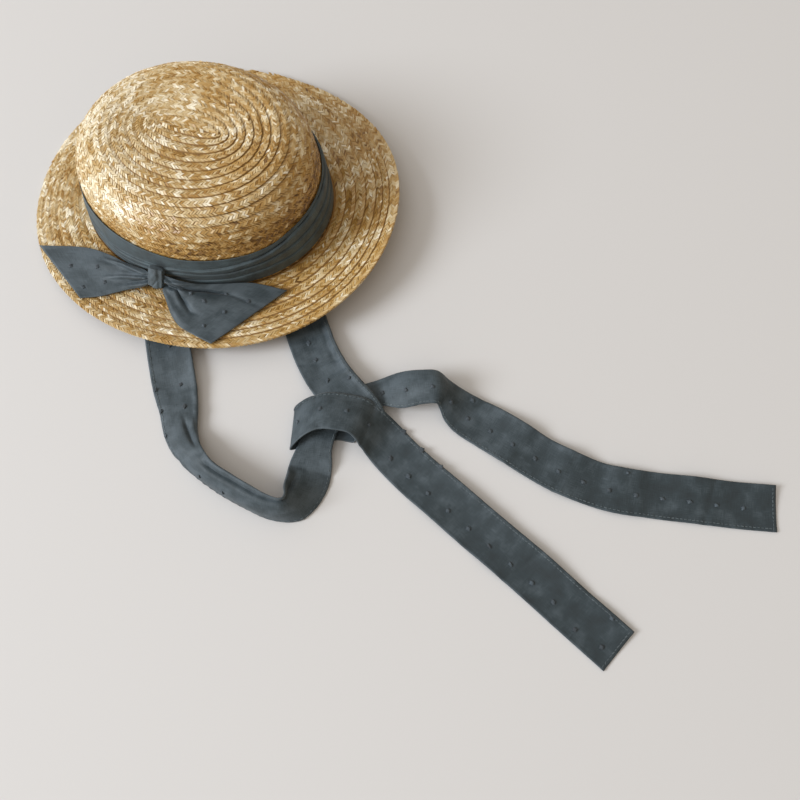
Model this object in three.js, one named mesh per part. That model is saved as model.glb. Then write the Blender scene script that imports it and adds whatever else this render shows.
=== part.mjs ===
// A child's straw boater with a cotton band, a bow and two long ties, lying on a surface.
// Millimetres, +Z up. The surface is z = 0. The ties lie towards -Y and +X of the hat.
import * as THREE from "three";

// The crown: an oval tub turned upside down, narrower at the top, open at the foot.
const WALL = 2.4;
const GAP = 0.3;
const CROWN = { a: 92, b: 77, rise: 73, narrowA: 0.136, narrowB: 0.07, shoulder: 26, dome: 2.5 };
const CROWN_FOOT = 10.3;
const CROWN_FROM_BRIM = { x: -5.4, y: 0.2 };
const WALL_RISES = [12, 24, 36];
const SHOULDER_STEPS = 5;
const TOP_SHARES = [0.66, 0.33, 0];

// The brim: a wide oval whose edge is warped up at the right and low at the left.
const BRIM = { a: 135.6, b: 124.7, squareness: 2.06, edge: 10.4 };
const BRIM_WARP = [
  { waves: 1, along: 9.3, across: -3.8 },
  { waves: 2, along: 2.2, across: -0.8 },
  { waves: 3, along: 1.8, across: 0.9 },
];
const BRIM_RAMP = 1.4;
const BRIM_OUTS = [0, 0.2, 0.4, 0.6, 0.8, 1];

// Where the middle of the brim lies, and how far the long axis of the oval is turned.
const HAT_AT = { x: -123.4, y: 104.3, turn: -15 };

// The band: a ribbon round the foot of the crown, gathered into lengthwise pleats.
const BAND = { foot: 3.5, top: 33.5, cloth: 1.2 };
const BAND_PLEATS = [
  { at: 0.0, out: 0.0 },
  { at: 0.03, out: 1.9 },
  { at: 0.14, out: 2.4 },
  { at: 0.24, out: 1.8 },
  { at: 0.3, out: 0.3 },
  { at: 0.38, out: 1.7 },
  { at: 0.5, out: 2.3 },
  { at: 0.58, out: 1.8 },
  { at: 0.63, out: 0.2 },
  { at: 0.72, out: 1.2 },
  { at: 0.86, out: 1.4 },
  { at: 0.96, out: 0.9 },
  { at: 1.0, out: 0.0 },
];

// The ribbon of the ties and of the bow: its thickness, its width, and the steps along and
// across it.
const CLOTH = 1.2;
const RIBBON = 31;
const TIE_STEP = 8;
const TIE_ACROSS = 4;
const TAIL_ALONG = 11;
const TAIL_ACROSS = 8;

// The knot of the bow, on the near side of the band: a block rounded partly towards a ball and
// drawn in round its middle.
const KNOT = { turn: -93.6, at: 0.44, wide: 10.5, tall: 17, deep: 6.4, clear: 2.9 };
const KNOT_FORM = { steps: 4, ball: 1.25, rounding: 0.55, waist: 0.14 };

// The tails of the bow, from the knot to the slanted ends: the high edge and the low edge.
const TAIL_LEFT = [
  { hx: -161.3, hy: 29.4, hz: 29.0, lx: -161.5, ly: 25.6, lz: 20.0 },
  { hx: -170.2, hy: 35.2, hz: 25.5, lx: -169.5, ly: 25.0, lz: 16.4 },
  { hx: -180.0, hy: 41.4, hz: 21.0, lx: -177.2, ly: 24.3, lz: 14.8 },
  { hx: -194.3, hy: 50.5, hz: 17.0, lx: -187.4, ly: 21.9, lz: 14.0 },
  { hx: -212.1, hy: 58.3, hz: 13.4, lx: -197.8, ly: 19.5, lz: 13.4 },
  { hx: -250.0, hy: 64.1, hz: 7.6, lx: -212.5, ly: 18.2, lz: 12.8 },
];
const TAIL_LEFT_FOLDS = { count: 1.5, depth: 1.2, lift: 1.6 };
const TAIL_RIGHT = [
  { hx: -149.9, hy: 26.4, hz: 30.0, lx: -150.9, ly: 23.0, lz: 20.0 },
  { hx: -139.6, hy: 23.6, hz: 27.5, lx: -149.5, ly: 14.0, lz: 17.2 },
  { hx: -129.0, hy: 22.6, hz: 24.6, lx: -146.2, ly: 4.4, lz: 16.0 },
  { hx: -111.7, hy: 24.4, hz: 21.8, lx: -139.4, ly: -5.6, lz: 15.8 },
  { hx: -90.9, hy: 26.8, hz: 18.6, lx: -129.8, ly: -11.9, lz: 16.2 },
  { hx: -67.1, hy: 22.4, hz: 16.0, lx: -116.7, ly: -19.4, lz: 17.2 },
];
const TAIL_RIGHT_FOLDS = { count: 2, depth: 1.6, lift: 1.5 };

// The left tie is sewn inside the near side. It leaves under the brim, stands up on one edge
// round a tight bend, passes through the loose knot and ends far to the right.
const SEWN_HOLLOW = 1.4;
const SEWN_RISES = [28, 14, 2, -4];
const SEWN_LEFT = { turn: -97, bow: SEWN_HOLLOW };
const TIE_LEFT = [
  { x: -158.5, y: 28.0, z: 1.2, across: -8 },
  { x: -155.5, y: 14.0, z: 0.9, across: 8 },
  { x: -151.5, y: -7.0, z: 1.4, across: 13 },
  { x: -142.5, y: -43.5, z: 1.0, across: 12 },
  { x: -138.0, y: -61.0, z: 1.6, across: 8, width: 27, bow: 2.5 },
  { x: -134.5, y: -79.5, z: 3.0, across: 6, tilt: 10, width: 23, bow: 4 },
  { x: -127.5, y: -93.0, z: 6.5, across: 24, tilt: 32, width: 21.5, bow: 4 },
  { x: -114.0, y: -107.0, z: 9.6, across: 48, tilt: 54, width: 21.5, bow: 4 },
  { x: -98.5, y: -117.5, z: 10.4, across: 54, tilt: 58, width: 22.5, bow: 4 },
  { x: -84.5, y: -125.5, z: 10.8, across: 62, tilt: 60, width: 23, bow: 4 },
  { x: -72.5, y: -131.5, z: 10.8, across: 76, tilt: 62, width: 23, bow: 3 },
  { x: -63.0, y: -133.5, z: 10.8, across: 100, tilt: 62, width: 23, bow: 2 },
  { x: -56.5, y: -131.5, z: 10.0, across: 136, tilt: 50, width: 24.5, bow: 1 },
  { x: -52.0, y: -123.0, z: 7.6, across: 160, tilt: 30, width: 27.5, bow: 0.5 },
  { x: -48.5, y: -112.5, z: 4.6, across: 168, tilt: 14, width: 28.5 },
  { x: -46.8, y: -101.0, z: 3.2, across: 174, tilt: 2, width: 28 },
  { x: -44.5, y: -90.0, z: 5.2, across: 172, width: 23, bow: 1 },
  { x: -39.0, y: -74.0, z: 5.6, across: 154, width: 21, bow: 1 },
  { x: -29.0, y: -63.0, z: 5.6, across: 128, width: 19, bow: 1 },
  { x: -16.0, y: -56.0, z: 5.4, across: 108, width: 19, bow: 0.5 },
  { x: -2.0, y: -51.0, z: 5.8, across: 99, width: 19, bow: 0.5 },
  { x: 12.5, y: -51.0, z: 10.5, across: 95, tilt: 4, width: 25, bow: 2 },
  { x: 27.0, y: -50.5, z: 15.5, across: 94, tilt: 9, width: 23, bow: 3.5 },
  { x: 36.5, y: -51.0, z: 16.4, across: 88, tilt: 10, width: 22, bow: 4 },
  { x: 41.5, y: -53.5, z: 11.0, across: 70, tilt: 8, width: 20, bow: 3.5 },
  { x: 48.0, y: -59.5, z: 5.6, across: 60, tilt: 5, width: 25, bow: 2 },
  { x: 57.0, y: -66.0, z: 2.2, across: 57, tilt: 1, width: 29 },
  { x: 71.5, y: -74.5, z: 0.9, across: 57 },
  { x: 88.0, y: -86.0, z: 2.6, across: 59 },
  { x: 105.0, y: -97.0, z: 1.4, across: 60 },
  { x: 119.0, y: -105.5, z: 2.6, across: 63 },
  { x: 140.5, y: -114.0, z: 0.9, across: 69 },
  { x: 155.0, y: -118.5, z: 2.2, across: 75 },
  { x: 181.0, y: -122.0, z: 0.9, across: 81 },
  { x: 204.0, y: -125.0, z: 1.8, across: 83 },
  { x: 229.0, y: -128.0, z: 0.8, across: 84 },
  { x: 256.5, y: -130.5, z: 0.8, across: 84 },
];

// The right tie is sewn inside the far side and crosses under the crown. It winds once round
// the left tie: over it, back under it, and over it again in a high arch.
const SEWN_RIGHT = { turn: 92, bow: -SEWN_HOLLOW };
const TIE_RIGHT = [
  { x: -105.0, y: 162.0, z: 1.2, across: -10 },
  { x: -98.5, y: 148.0, z: 0.8, across: 4 },
  { x: -80.0, y: 90.0, z: 0.8, across: 16 },
  { x: -62.5, y: 26.0, z: 1.0, across: 17 },
  { x: -54.5, y: 1.5, z: 3.4, across: 22 },
  { x: -47.0, y: -19.0, z: 2.4, across: 26 },
  { x: -38.0, y: -37.0, z: 4.4, across: 32 },
  { x: -27.0, y: -52.5, z: 8.6, across: 36 },
  { x: -17.0, y: -64.0, z: 9.8, across: 38 },
  { x: -8.5, y: -74.0, z: 6.6, across: 42, width: 27 },
  { x: -10.5, y: -74.0, z: 1.5, across: 50, width: 28 },
  { x: -24.0, y: -70.5, z: 0.9, across: 64, width: 28 },
  { x: -40.0, y: -71.5, z: 0.9, across: 78, width: 28 },
  { x: -53.0, y: -74.0, z: 1.2, across: 84, width: 29 },
  { x: -59.5, y: -76.5, z: 5.8, across: 86, width: 30 },
  { x: -52.0, y: -71.0, z: 11.0, across: 84, tilt: -7, width: 30 },
  { x: -41.0, y: -67.0, z: 13.2, across: 82, tilt: -13, width: 29, bow: 2 },
  { x: -28.0, y: -68.0, z: 14.6, across: 76, tilt: -12, width: 29, bow: 2 },
  { x: -15.5, y: -71.0, z: 14.4, across: 66, tilt: -10, width: 29, bow: 1.5 },
  { x: -6.5, y: -77.5, z: 8.6, across: 57, tilt: -6, width: 30 },
  { x: 0.5, y: -84.0, z: 2.2, across: 51 },
  { x: 9.5, y: -94.0, z: 0.9, across: 48 },
  { x: 22.0, y: -107.0, z: 1.2, across: 48 },
  { x: 42.0, y: -125.5, z: 2.4, across: 48 },
  { x: 61.0, y: -142.5, z: 0.9, across: 47 },
  { x: 79.0, y: -158.5, z: 2.2, across: 47 },
  { x: 96.5, y: -174.0, z: 0.8, across: 48 },
  { x: 119.0, y: -195.0, z: 0.6, across: 48 },
  { x: 132.5, y: -207.5, z: 0.6, across: 48 },
  { x: 146.0, y: -220.0, z: 0.6, across: 48 },
];

const FULL_TURN = 2 * Math.PI;
const AROUND = 64;
const rad = THREE.MathUtils.degToRad;
const mix = THREE.MathUtils.lerp;

// A superellipse keeps the oval a little squarer than an ellipse.
function ovalPoint(a, b, turn, squareness = 2) {
  const c = Math.cos(turn);
  const s = Math.sin(turn);
  return {
    x: a * Math.sign(c) * Math.abs(c) ** (2 / squareness),
    y: b * Math.sign(s) * Math.abs(s) ** (2 / squareness),
  };
}

// The crown's outer semi-axes at a height over its foot.
function crownAt(rise) {
  const share = rise / CROWN.rise;
  return { a: CROWN.a * (1 - CROWN.narrowA * share), b: CROWN.b * (1 - CROWN.narrowB * share) };
}

// The height of the brim's edge round the hat.
function edgeHeight(turn) {
  return BRIM_WARP.reduce(
    (z, { waves, along, across }) => z + along * Math.cos(waves * turn) + across * Math.sin(waves * turn),
    BRIM.edge,
  );
}

// A point in the middle of the brim's thickness: out is 0 at the crown and 1 at the edge.
function brimPoint(turn, out) {
  const foot = ovalPoint(CROWN.a + GAP, CROWN.b + GAP, turn);
  const edge = ovalPoint(BRIM.a, BRIM.b, turn, BRIM.squareness);
  return new THREE.Vector3(
    mix(foot.x + CROWN_FROM_BRIM.x, edge.x, out),
    mix(foot.y + CROWN_FROM_BRIM.y, edge.y, out),
    mix(CROWN_FOOT, edgeHeight(turn), out ** BRIM_RAMP),
  );
}

// A hollow round form: rows of a closed profile, each row an oval ring, joined row to row.
// A lathe makes the rings, and place() moves each of its points to where it belongs.
function ringSolid(rows, place) {
  const marks = Array.from({ length: rows + 1 }, (_, row) => new THREE.Vector2(1, row % rows));
  const lathe = new THREE.LatheGeometry(marks, AROUND);
  const at = lathe.attributes.position;
  for (let i = 0; i < at.count; i++) {
    const column = Math.floor(i / (rows + 1));
    const p = place(i % (rows + 1) % rows, (FULL_TURN * (column % AROUND)) / AROUND);
    at.setXYZ(i, p.x, p.y, p.z);
  }
  return lathe;
}

function cloth(colour, roughness = 0.9) {
  return new THREE.MeshStandardMaterial({ color: colour, roughness, metalness: 0 });
}

const STRAW_GOLD = cloth(0xd9bc86, 0.55);
const STRAW_BRIM = cloth(0xcfae74, 0.55);
const RIBBON_BLUE = cloth(0x5d686e);
const RIBBON_DARK = cloth(0x525c62);

function named(name, geometry, material) {
  const mesh = new THREE.Mesh(geometry, material);
  mesh.name = name;
  return mesh;
}

// A strip of cloth: middle(u, v) is its middle surface, u along it and v across it, both 0 to 1.
// A box of one layer is bent over that surface and given its thickness along the normals.
function clothSolid(middle, along, across, thickness = CLOTH) {
  const box = new THREE.BoxGeometry(1, 1, 1, along, across, 1);
  const at = box.attributes.position;
  const nudge = 1e-3;
  for (let i = 0; i < at.count; i++) {
    const u = at.getX(i) + 0.5;
    const v = at.getY(i) + 0.5;
    const p = middle(u, v);
    const du = middle(Math.min(u + nudge, 1), v).sub(middle(Math.max(u - nudge, 0), v));
    const dv = middle(u, Math.min(v + nudge, 1)).sub(middle(u, Math.max(v - nudge, 0)));
    p.addScaledVector(du.cross(dv).normalize(), thickness * at.getZ(i));
    at.setXYZ(i, p.x, p.y, p.z);
  }
  box.computeVertexNormals();
  return box;
}

// The crown.
function crownRows() {
  const wallRises = [-WALL / 2, ...WALL_RISES, CROWN.rise - CROWN.shoulder];
  const quarter = Math.PI / 2;
  const leans = Array.from({ length: SHOULDER_STEPS }, (_, i) => (quarter * (i + 1)) / SHOULDER_STEPS);
  const skin = (depth) => [
    ...wallRises.map((rise) => ({ rise, inset: depth, share: 1 })),
    ...leans.map((w) => ({
      rise: CROWN.rise - CROWN.shoulder + (CROWN.shoulder - depth) * Math.sin(w),
      inset: depth + (CROWN.shoulder - depth) * (1 - Math.cos(w)),
      share: 1,
    })),
    ...TOP_SHARES.map((share) => ({
      rise: CROWN.rise - depth + CROWN.dome * (1 - share * share),
      inset: CROWN.shoulder,
      share,
    })),
  ];
  return [...skin(WALL).reverse(), ...skin(0)];
}

function crown() {
  const rows = crownRows();
  const marks = rows.map((row) => new THREE.Vector2(row.share, row.rise));
  const lathe = new THREE.LatheGeometry(marks, AROUND);
  const at = lathe.attributes.position;
  for (let i = 0; i < at.count; i++) {
    const { rise, inset, share } = rows[i % rows.length];
    const turn = (FULL_TURN * (Math.floor(i / rows.length) % AROUND)) / AROUND;
    const axes = crownAt(Math.max(rise, 0));
    const p = ovalPoint((axes.a - inset) * share, (axes.b - inset) * share, turn);
    at.setXYZ(i, p.x + CROWN_FROM_BRIM.x, p.y + CROWN_FROM_BRIM.y, CROWN_FOOT + rise);
  }
  lathe.computeVertexNormals();
  return named("crown", lathe, STRAW_GOLD);
}

// The brim, outward along its underside and back along its top.
function brim() {
  const rows = [
    ...BRIM_OUTS.map((out) => ({ out, lift: -WALL / 2 })),
    ...BRIM_OUTS.toReversed().map((out) => ({ out, lift: WALL / 2 })),
  ];
  const ring = ringSolid(rows.length, (row, turn) => {
    const p = brimPoint(turn, rows[row].out);
    p.z += rows[row].lift;
    return p;
  });
  return named("brim", ring, STRAW_BRIM);
}

// The band, up its pleated outside and down its plain inside.
function bandPoint(at, stand, turn) {
  const rise = mix(BAND.foot, BAND.top, at);
  const axes = crownAt(rise);
  const p = ovalPoint(axes.a + stand, axes.b + stand, turn);
  return new THREE.Vector3(p.x + CROWN_FROM_BRIM.x, p.y + CROWN_FROM_BRIM.y, CROWN_FOOT + rise);
}

function band() {
  const rows = [
    ...BAND_PLEATS.map(({ at, out }) => ({ at, stand: GAP + BAND.cloth + out })),
    { at: 1, stand: GAP },
    { at: 0, stand: GAP },
  ];
  const ring = ringSolid(rows.length, (row, turn) => bandPoint(rows[row].at, rows[row].stand, turn));
  return named("band", ring, RIBBON_DARK);
}

// The knot of the bow stands on the band.
function bowKnot() {
  const { wide, tall, deep } = KNOT;
  const { steps, ball, rounding, waist } = KNOT_FORM;
  const box = new THREE.BoxGeometry(2, 2, 2, steps, steps, steps);
  const at = box.attributes.position;
  const p = new THREE.Vector3();
  for (let i = 0; i < at.count; i++) {
    p.fromBufferAttribute(at, i);
    const round = p.clone().normalize().multiplyScalar(ball);
    p.lerp(round, rounding);
    const drawnIn = 1 - waist * Math.cos((Math.PI * p.z) / 2);
    at.setXYZ(i, (p.x * drawnIn * wide) / 2, (p.y * deep) / 2, (p.z * tall) / 2);
  }
  box.computeVertexNormals();
  const knot = named("bow_knot", box, RIBBON_DARK);
  const seat = bandPoint(KNOT.at, GAP + BAND.cloth + KNOT.clear + deep / 2, rad(KNOT.turn));
  knot.position.copy(seat);
  knot.rotation.z = rad(KNOT.turn + 90);
  return knot;
}

// A tail of the bow runs from the knot to its slanted end between a high and a low edge.
function bowTail(name, rows, folds) {
  const high = new THREE.CatmullRomCurve3(rows.map((r) => new THREE.Vector3(r.hx, r.hy, r.hz)));
  const low = new THREE.CatmullRomCurve3(rows.map((r) => new THREE.Vector3(r.lx, r.ly, r.lz)));
  const middle = (u, v) => {
    const p = low.getPoint(u).lerp(high.getPoint(u), v);
    p.z += folds.lift * Math.sin(Math.PI * v) * Math.sin(Math.PI * u);
    p.z += folds.depth * (1 - u) * Math.sin(FULL_TURN * folds.count * v) * Math.sin(Math.PI * v);
    return p;
  };
  return named(name, clothSolid(middle, TAIL_ALONG, TAIL_ACROSS), RIBBON_BLUE);
}

// A tie: a long ribbon. Each row is a place on its middle line, with the compass angle from
// its one edge to its other, the rise of that other edge, the width there and how far the
// middle stands proud of the edges. It lies on the surface and never below it.
function tie(name, rows) {
  const column = (x, y, z) => rows.map((r) => new THREE.Vector3(r[x] ?? 0, r[y] ?? 0, r[z] ?? 0));
  const path = new THREE.CatmullRomCurve3(column("x", "y", "z"), false, "centripetal");
  const lie = new THREE.CatmullRomCurve3(column("across", "tilt", "bow"), false, "catmullrom");
  const widths = rows.map((r) => new THREE.Vector3(r.width ?? RIBBON, 0, 0));
  const breadth = new THREE.CatmullRomCurve3(widths, false, "catmullrom");
  const middle = (u, v) => {
    const t = path.getUtoTmapping(u);
    const { x: across, y: tilt, z: bow } = lie.getPoint(t);
    const width = breadth.getPoint(t).x;
    const flat = Math.cos(rad(tilt));
    const side = new THREE.Vector3(
      flat * Math.cos(rad(across)),
      flat * Math.sin(rad(across)),
      Math.sin(rad(tilt)),
    );
    const proud = path.getTangent(t).cross(side).normalize();
    const p = path.getPoint(t);
    p.addScaledVector(side, width * (v - 0.5));
    p.addScaledVector(proud, bow * 4 * v * (1 - v));
    p.z = Math.max(p.z, CLOTH / 2);
    return p;
  };
  const along = Math.round(path.getLength() / TIE_STEP);
  return named(name, clothSolid(middle, along, TIE_ACROSS), RIBBON_BLUE);
}

// A tie starts flat against the inside of the crown, where it is sewn in, and comes down past
// the foot. It follows the wall's curve across its width.
function sewnRows({ turn, bow }) {
  return SEWN_RISES.map((rise) => {
    const axes = crownAt(Math.max(rise, 0));
    const inward = WALL + GAP + CLOTH / 2 + SEWN_HOLLOW;
    const p = ovalPoint(axes.a - inward, axes.b - inward, rad(turn));
    const place = new THREE.Vector3(p.x + CROWN_FROM_BRIM.x, p.y + CROWN_FROM_BRIM.y, 0);
    place.applyAxisAngle(new THREE.Vector3(0, 0, 1), rad(HAT_AT.turn));
    const along = Math.atan(-(axes.b * Math.cos(rad(turn))) / (axes.a * Math.sin(rad(turn))));
    return {
      x: place.x + HAT_AT.x,
      y: place.y + HAT_AT.y,
      z: CROWN_FOOT + rise,
      across: HAT_AT.turn + THREE.MathUtils.radToDeg(along),
      bow,
    };
  });
}

const strawHat = new THREE.Group();
strawHat.position.set(HAT_AT.x, HAT_AT.y, 0);
strawHat.rotation.z = rad(HAT_AT.turn);
strawHat.add(crown(), brim(), band(), bowKnot());

const boater = new THREE.Group();
boater.add(
  strawHat,
  bowTail("bow_tail_left", TAIL_LEFT, TAIL_LEFT_FOLDS),
  bowTail("bow_tail_right", TAIL_RIGHT, TAIL_RIGHT_FOLDS),
  tie("tie_left", [...sewnRows(SEWN_LEFT), ...TIE_LEFT]),
  tie("tie_right", [...sewnRows(SEWN_RIGHT), ...TIE_RIGHT]),
);

export default boater;
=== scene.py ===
# %% [markdown]
# A child's straw boater, with a cotton band, a bow and two long ties.
#
# The hat is sewn from one long plait of flat wheat straw. The plait starts at a short slit in
# the middle of the crown and winds outwards, each round lapped over the next, and the brim is
# wound in the same way. The ribbon is plain woven cotton with small tufts. This script builds
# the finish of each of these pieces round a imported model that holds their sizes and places.

import math

import bmesh
import bpy
import numpy as np
from mathutils import Matrix, Vector, noise


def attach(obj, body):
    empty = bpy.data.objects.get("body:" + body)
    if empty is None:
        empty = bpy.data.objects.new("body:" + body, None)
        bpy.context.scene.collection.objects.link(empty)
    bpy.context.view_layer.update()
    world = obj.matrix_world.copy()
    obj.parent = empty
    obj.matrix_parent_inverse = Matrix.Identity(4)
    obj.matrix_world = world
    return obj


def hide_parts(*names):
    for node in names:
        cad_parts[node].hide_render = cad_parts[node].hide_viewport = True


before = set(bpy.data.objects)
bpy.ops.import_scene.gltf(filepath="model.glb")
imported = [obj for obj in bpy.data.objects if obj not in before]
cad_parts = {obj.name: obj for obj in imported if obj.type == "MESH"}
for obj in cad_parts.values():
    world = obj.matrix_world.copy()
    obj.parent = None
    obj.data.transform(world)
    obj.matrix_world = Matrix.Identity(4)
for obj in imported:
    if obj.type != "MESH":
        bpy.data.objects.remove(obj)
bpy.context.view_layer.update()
MM = 0.001
print("nodes:", sorted(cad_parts))

# %% [markdown]
# The camera looks down on the hat at about 68 degrees from a little over half a metre, through
# a moderately wide lens. That is why the crown leans away from the viewer and the near ribbons
# look wider than the far ones. A longer lens from further off would lose that.

# %% The camera
CAMERA_AT = Vector((12.0, -273.6, 551.1)) * MM
CAMERA_TILT = 21.75
LENS = 26.0
FILM = 24.0


def linked(name, data):
    """An object in the scene that holds the given mesh, lamp or camera."""
    thing = bpy.data.objects.new(name, data)
    bpy.context.scene.collection.objects.link(thing)
    return thing


eye = bpy.data.cameras.new("camera")
eye.lens = LENS
eye.sensor_fit = "HORIZONTAL"
eye.sensor_width = FILM
eye.clip_start = 0.01
camera = linked("camera", eye)
camera.location = CAMERA_AT
camera.rotation_euler = (math.radians(CAMERA_TILT), 0.0, 0.0)
bpy.context.scene.camera = camera
print("camera at", tuple(round(x, 3) for x in CAMERA_AT))

# %% [markdown]
# The hat lies on a plain, pale, matt surface. A grid of one cell is enough for it. It is made far
# wider than the view, so that its edges never show and it throws its light back up evenly.

# %% The surface
FLOOR_SIZE = 6.0
FLOOR_TONE = (0.635, 0.63, 0.628, 1.0)


def shader_nodes(material):
    """The nodes, the links and the main shader of a material."""
    material.use_nodes = True
    nodes = material.node_tree.nodes
    return nodes, material.node_tree.links, nodes["Principled BSDF"]


bm = bmesh.new()
bmesh.ops.create_grid(bm, x_segments=1, y_segments=1, size=FLOOR_SIZE / 2)
floor_mesh = bpy.data.meshes.new("floor")
bm.to_mesh(floor_mesh)
bm.free()
floor = linked("floor", floor_mesh)
floor_paper = bpy.data.materials.new("floor paper")
_, _, paper = shader_nodes(floor_paper)
paper.inputs["Base Color"].default_value = FLOOR_TONE
paper.inputs["Roughness"].default_value = 0.8
floor.data.materials.append(floor_paper)
print("the surface is", FLOOR_SIZE, "m wide")

# %% [markdown]
# Nearly all of the light is soft and comes from the whole room, with a little more of it from
# the windows. One very wide lamp at the left, slightly to the front, stands for them. It gives
# the ribbons their soft shadows on the right. A small lamp would cut those shadows out sharply.

# %% The window light
WINDOW_AT = Vector((-2.95, -0.85, 1.9))
WINDOW_AIM = Vector((0.0, 0.0, 0.02))
WINDOW_WIDTH = 1.6
WINDOW_POWER = 106.0
WINDOW_TINT = (0.94, 0.98, 1.03)

window_light = bpy.data.lights.new("window", "AREA")
window_light.shape = "DISK"
window_light.size = WINDOW_WIDTH
window_light.energy = WINDOW_POWER
window_light.color = WINDOW_TINT
window = linked("window", window_light)
window.location = WINDOW_AT
window.rotation_euler = (WINDOW_AIM - WINDOW_AT).to_track_quat("-Z", "Y").to_euler()
print("the window lamp has", WINDOW_POWER, "W")

# %% [markdown]
# The rest of the light is the room itself: a sky that is bright on the left, and dim and warm on
# the right. The shadows on the right get most of their light from its warm side, so they turn
# brownish. One ramp of colour over one direction does this, and no picture of a room is needed.

# %% The room
BRIGHT_SIDE = (-0.72, -0.12, 0.7)
ROOM_STOPS = ((0.1, (0.43, 0.345, 0.245)), (0.95, (1.06, 1.04, 1.02)))
ROOM_STRENGTH = 0.93


def colour_ramp(nodes, links, value, stops):
    """Turns a number into a colour: each stop is a place from 0 to 1 and a colour."""
    ramp = nodes.new("ShaderNodeValToRGB")
    while len(ramp.color_ramp.elements) < len(stops):
        ramp.color_ramp.elements.new(0.5)
    for element, (place, colour) in zip(ramp.color_ramp.elements, stops):
        element.position = place
        element.color = (*colour, 1.0)
    links.new(value, ramp.inputs["Fac"])
    return ramp.outputs["Color"]


room = bpy.data.worlds.new("room")
room.use_nodes = True
room_nodes, room_links = room.node_tree.nodes, room.node_tree.links
background = room_nodes["Background"]
way = room_nodes.new("ShaderNodeTexCoord")
towards = room_nodes.new("ShaderNodeVectorMath")
towards.operation = "DOT_PRODUCT"
towards.inputs[1].default_value = BRIGHT_SIDE
room_links.new(way.outputs["Generated"], towards.inputs[0])
fade = colour_ramp(room_nodes, room_links, towards.outputs["Value"], ROOM_STOPS)
room_links.new(fade, background.inputs["Color"])
background.inputs["Strength"].default_value = ROOM_STRENGTH
bpy.context.scene.world = room
bpy.context.scene.view_settings.view_transform = "Standard"
print("the room fades between", len(ROOM_STOPS), "colours")

# %% [markdown]
# Everything on the hat follows a few sizes: an oval for the crown that narrows upwards, a fuller
# one for the brim, and the rounded shoulder between the crown's wall and its top. They are the
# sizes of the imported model. The crown's straw is measured along a run that starts at the slit in
# the middle of the top, goes over the shoulder and ends at the foot of the wall.

# %% Sizes of the hat
CROWN_A, CROWN_B, CROWN_RISE = 92 * MM, 77 * MM, 73 * MM
NARROW_A, NARROW_B = 0.136, 0.07
SHOULDER = 26 * MM
DOME = 2.5 * MM
CROWN_FOOT = 10.3 * MM
CROWN_FROM_BRIM = (-5.4 * MM, 0.2 * MM)
SLIT = 17 * MM
DEPTH = 1.2 * MM

BRIM_A, BRIM_B, BRIM_SQUARE = 135.6 * MM, 124.7 * MM, 2.06
BRIM_EDGE = 10.4 * MM
BRIM_WARP = ((1, 9.3 * MM, -3.8 * MM), (2, 2.2 * MM, -0.8 * MM), (3, 1.8 * MM, 0.9 * MM))
BRIM_RAMP = 1.4
BRIM_INNER_GAP = 0.3 * MM

HAT_AT = (-123.4 * MM, 104.3 * MM)
HAT_TURN = math.radians(-15)

TOP_RUN = 41 * MM
SHOULDER_RUN = (SHOULDER - DEPTH) * math.pi / 2
WALL_RUN = CROWN_RISE - SHOULDER
CROWN_RUN = TOP_RUN + SHOULDER_RUN + WALL_RUN
print("crown run", round(CROWN_RUN, 4), "m from the slit to the foot")

# %% [markdown]
# One function gives the middle of the crown's straw at any turn round the hat and any distance
# down the run. It takes whole arrays, so that thousands of places are worked out in one go. The
# top is an oval that swells a little, the shoulder a quarter of a circle, and the wall straight.


# %% The crown's form
def in_row(x, y, z):
    """From the hat's own axes to the shared frame."""
    c, s = math.cos(HAT_TURN), math.sin(HAT_TURN)
    return np.stack([HAT_AT[0] + x * c - y * s, HAT_AT[1] + x * s + y * c, z], -1)


def crown_axes(rise):
    """Half the length and half the width of the crown at a height above its foot."""
    share = np.maximum(rise, 0) / CROWN_RISE
    return CROWN_A * (1 - NARROW_A * share), CROWN_B * (1 - NARROW_B * share)


def crown_middle(turn, down):
    """The middle of the straw: down is 0 at the slit on top and 1 at the foot."""
    run = np.clip(down, 0, 1) * CROWN_RUN
    a_top, b_top = crown_axes(CROWN_RISE - DEPTH)
    a_flat, b_flat = a_top - SHOULDER, b_top - SHOULDER
    share = np.clip(run / TOP_RUN, 0, 1)
    x_top = (SLIT + (a_flat - SLIT) * share) * np.cos(turn)
    y_top = b_flat * share * np.sin(turn)
    swell = 1 - np.clip((x_top / a_flat) ** 2 + (y_top / b_flat) ** 2, 0, 1)
    z_top = CROWN_RISE - DEPTH + DOME * swell
    lean = math.pi / 2 * (1 - np.clip((run - TOP_RUN) / SHOULDER_RUN, 0, 1))
    inset = DEPTH + (SHOULDER - DEPTH) * (1 - np.cos(lean))
    rise = CROWN_RISE - SHOULDER + (SHOULDER - DEPTH) * np.sin(lean)
    rise = rise - np.maximum(run - TOP_RUN - SHOULDER_RUN, 0)
    a, b = crown_axes(rise)
    on_top = run < TOP_RUN
    x = np.where(on_top, x_top, (a - inset) * np.cos(turn))
    y = np.where(on_top, y_top, (b - inset) * np.sin(turn))
    z = np.where(on_top, z_top, rise)
    return in_row(x + CROWN_FROM_BRIM[0], y + CROWN_FROM_BRIM[1], CROWN_FOOT + z)


print("crown foot", [round(float(x), 3) for x in crown_middle(0.0, np.float64(1.0))])

# %% [markdown]
# The brim runs out from the foot of the crown to an oval that is a little squarer than an
# ellipse. Straw takes on a warp when it gets damp. Three slow waves round the edge raise it at
# the right and the front and let it sink at the left and the back.


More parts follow.
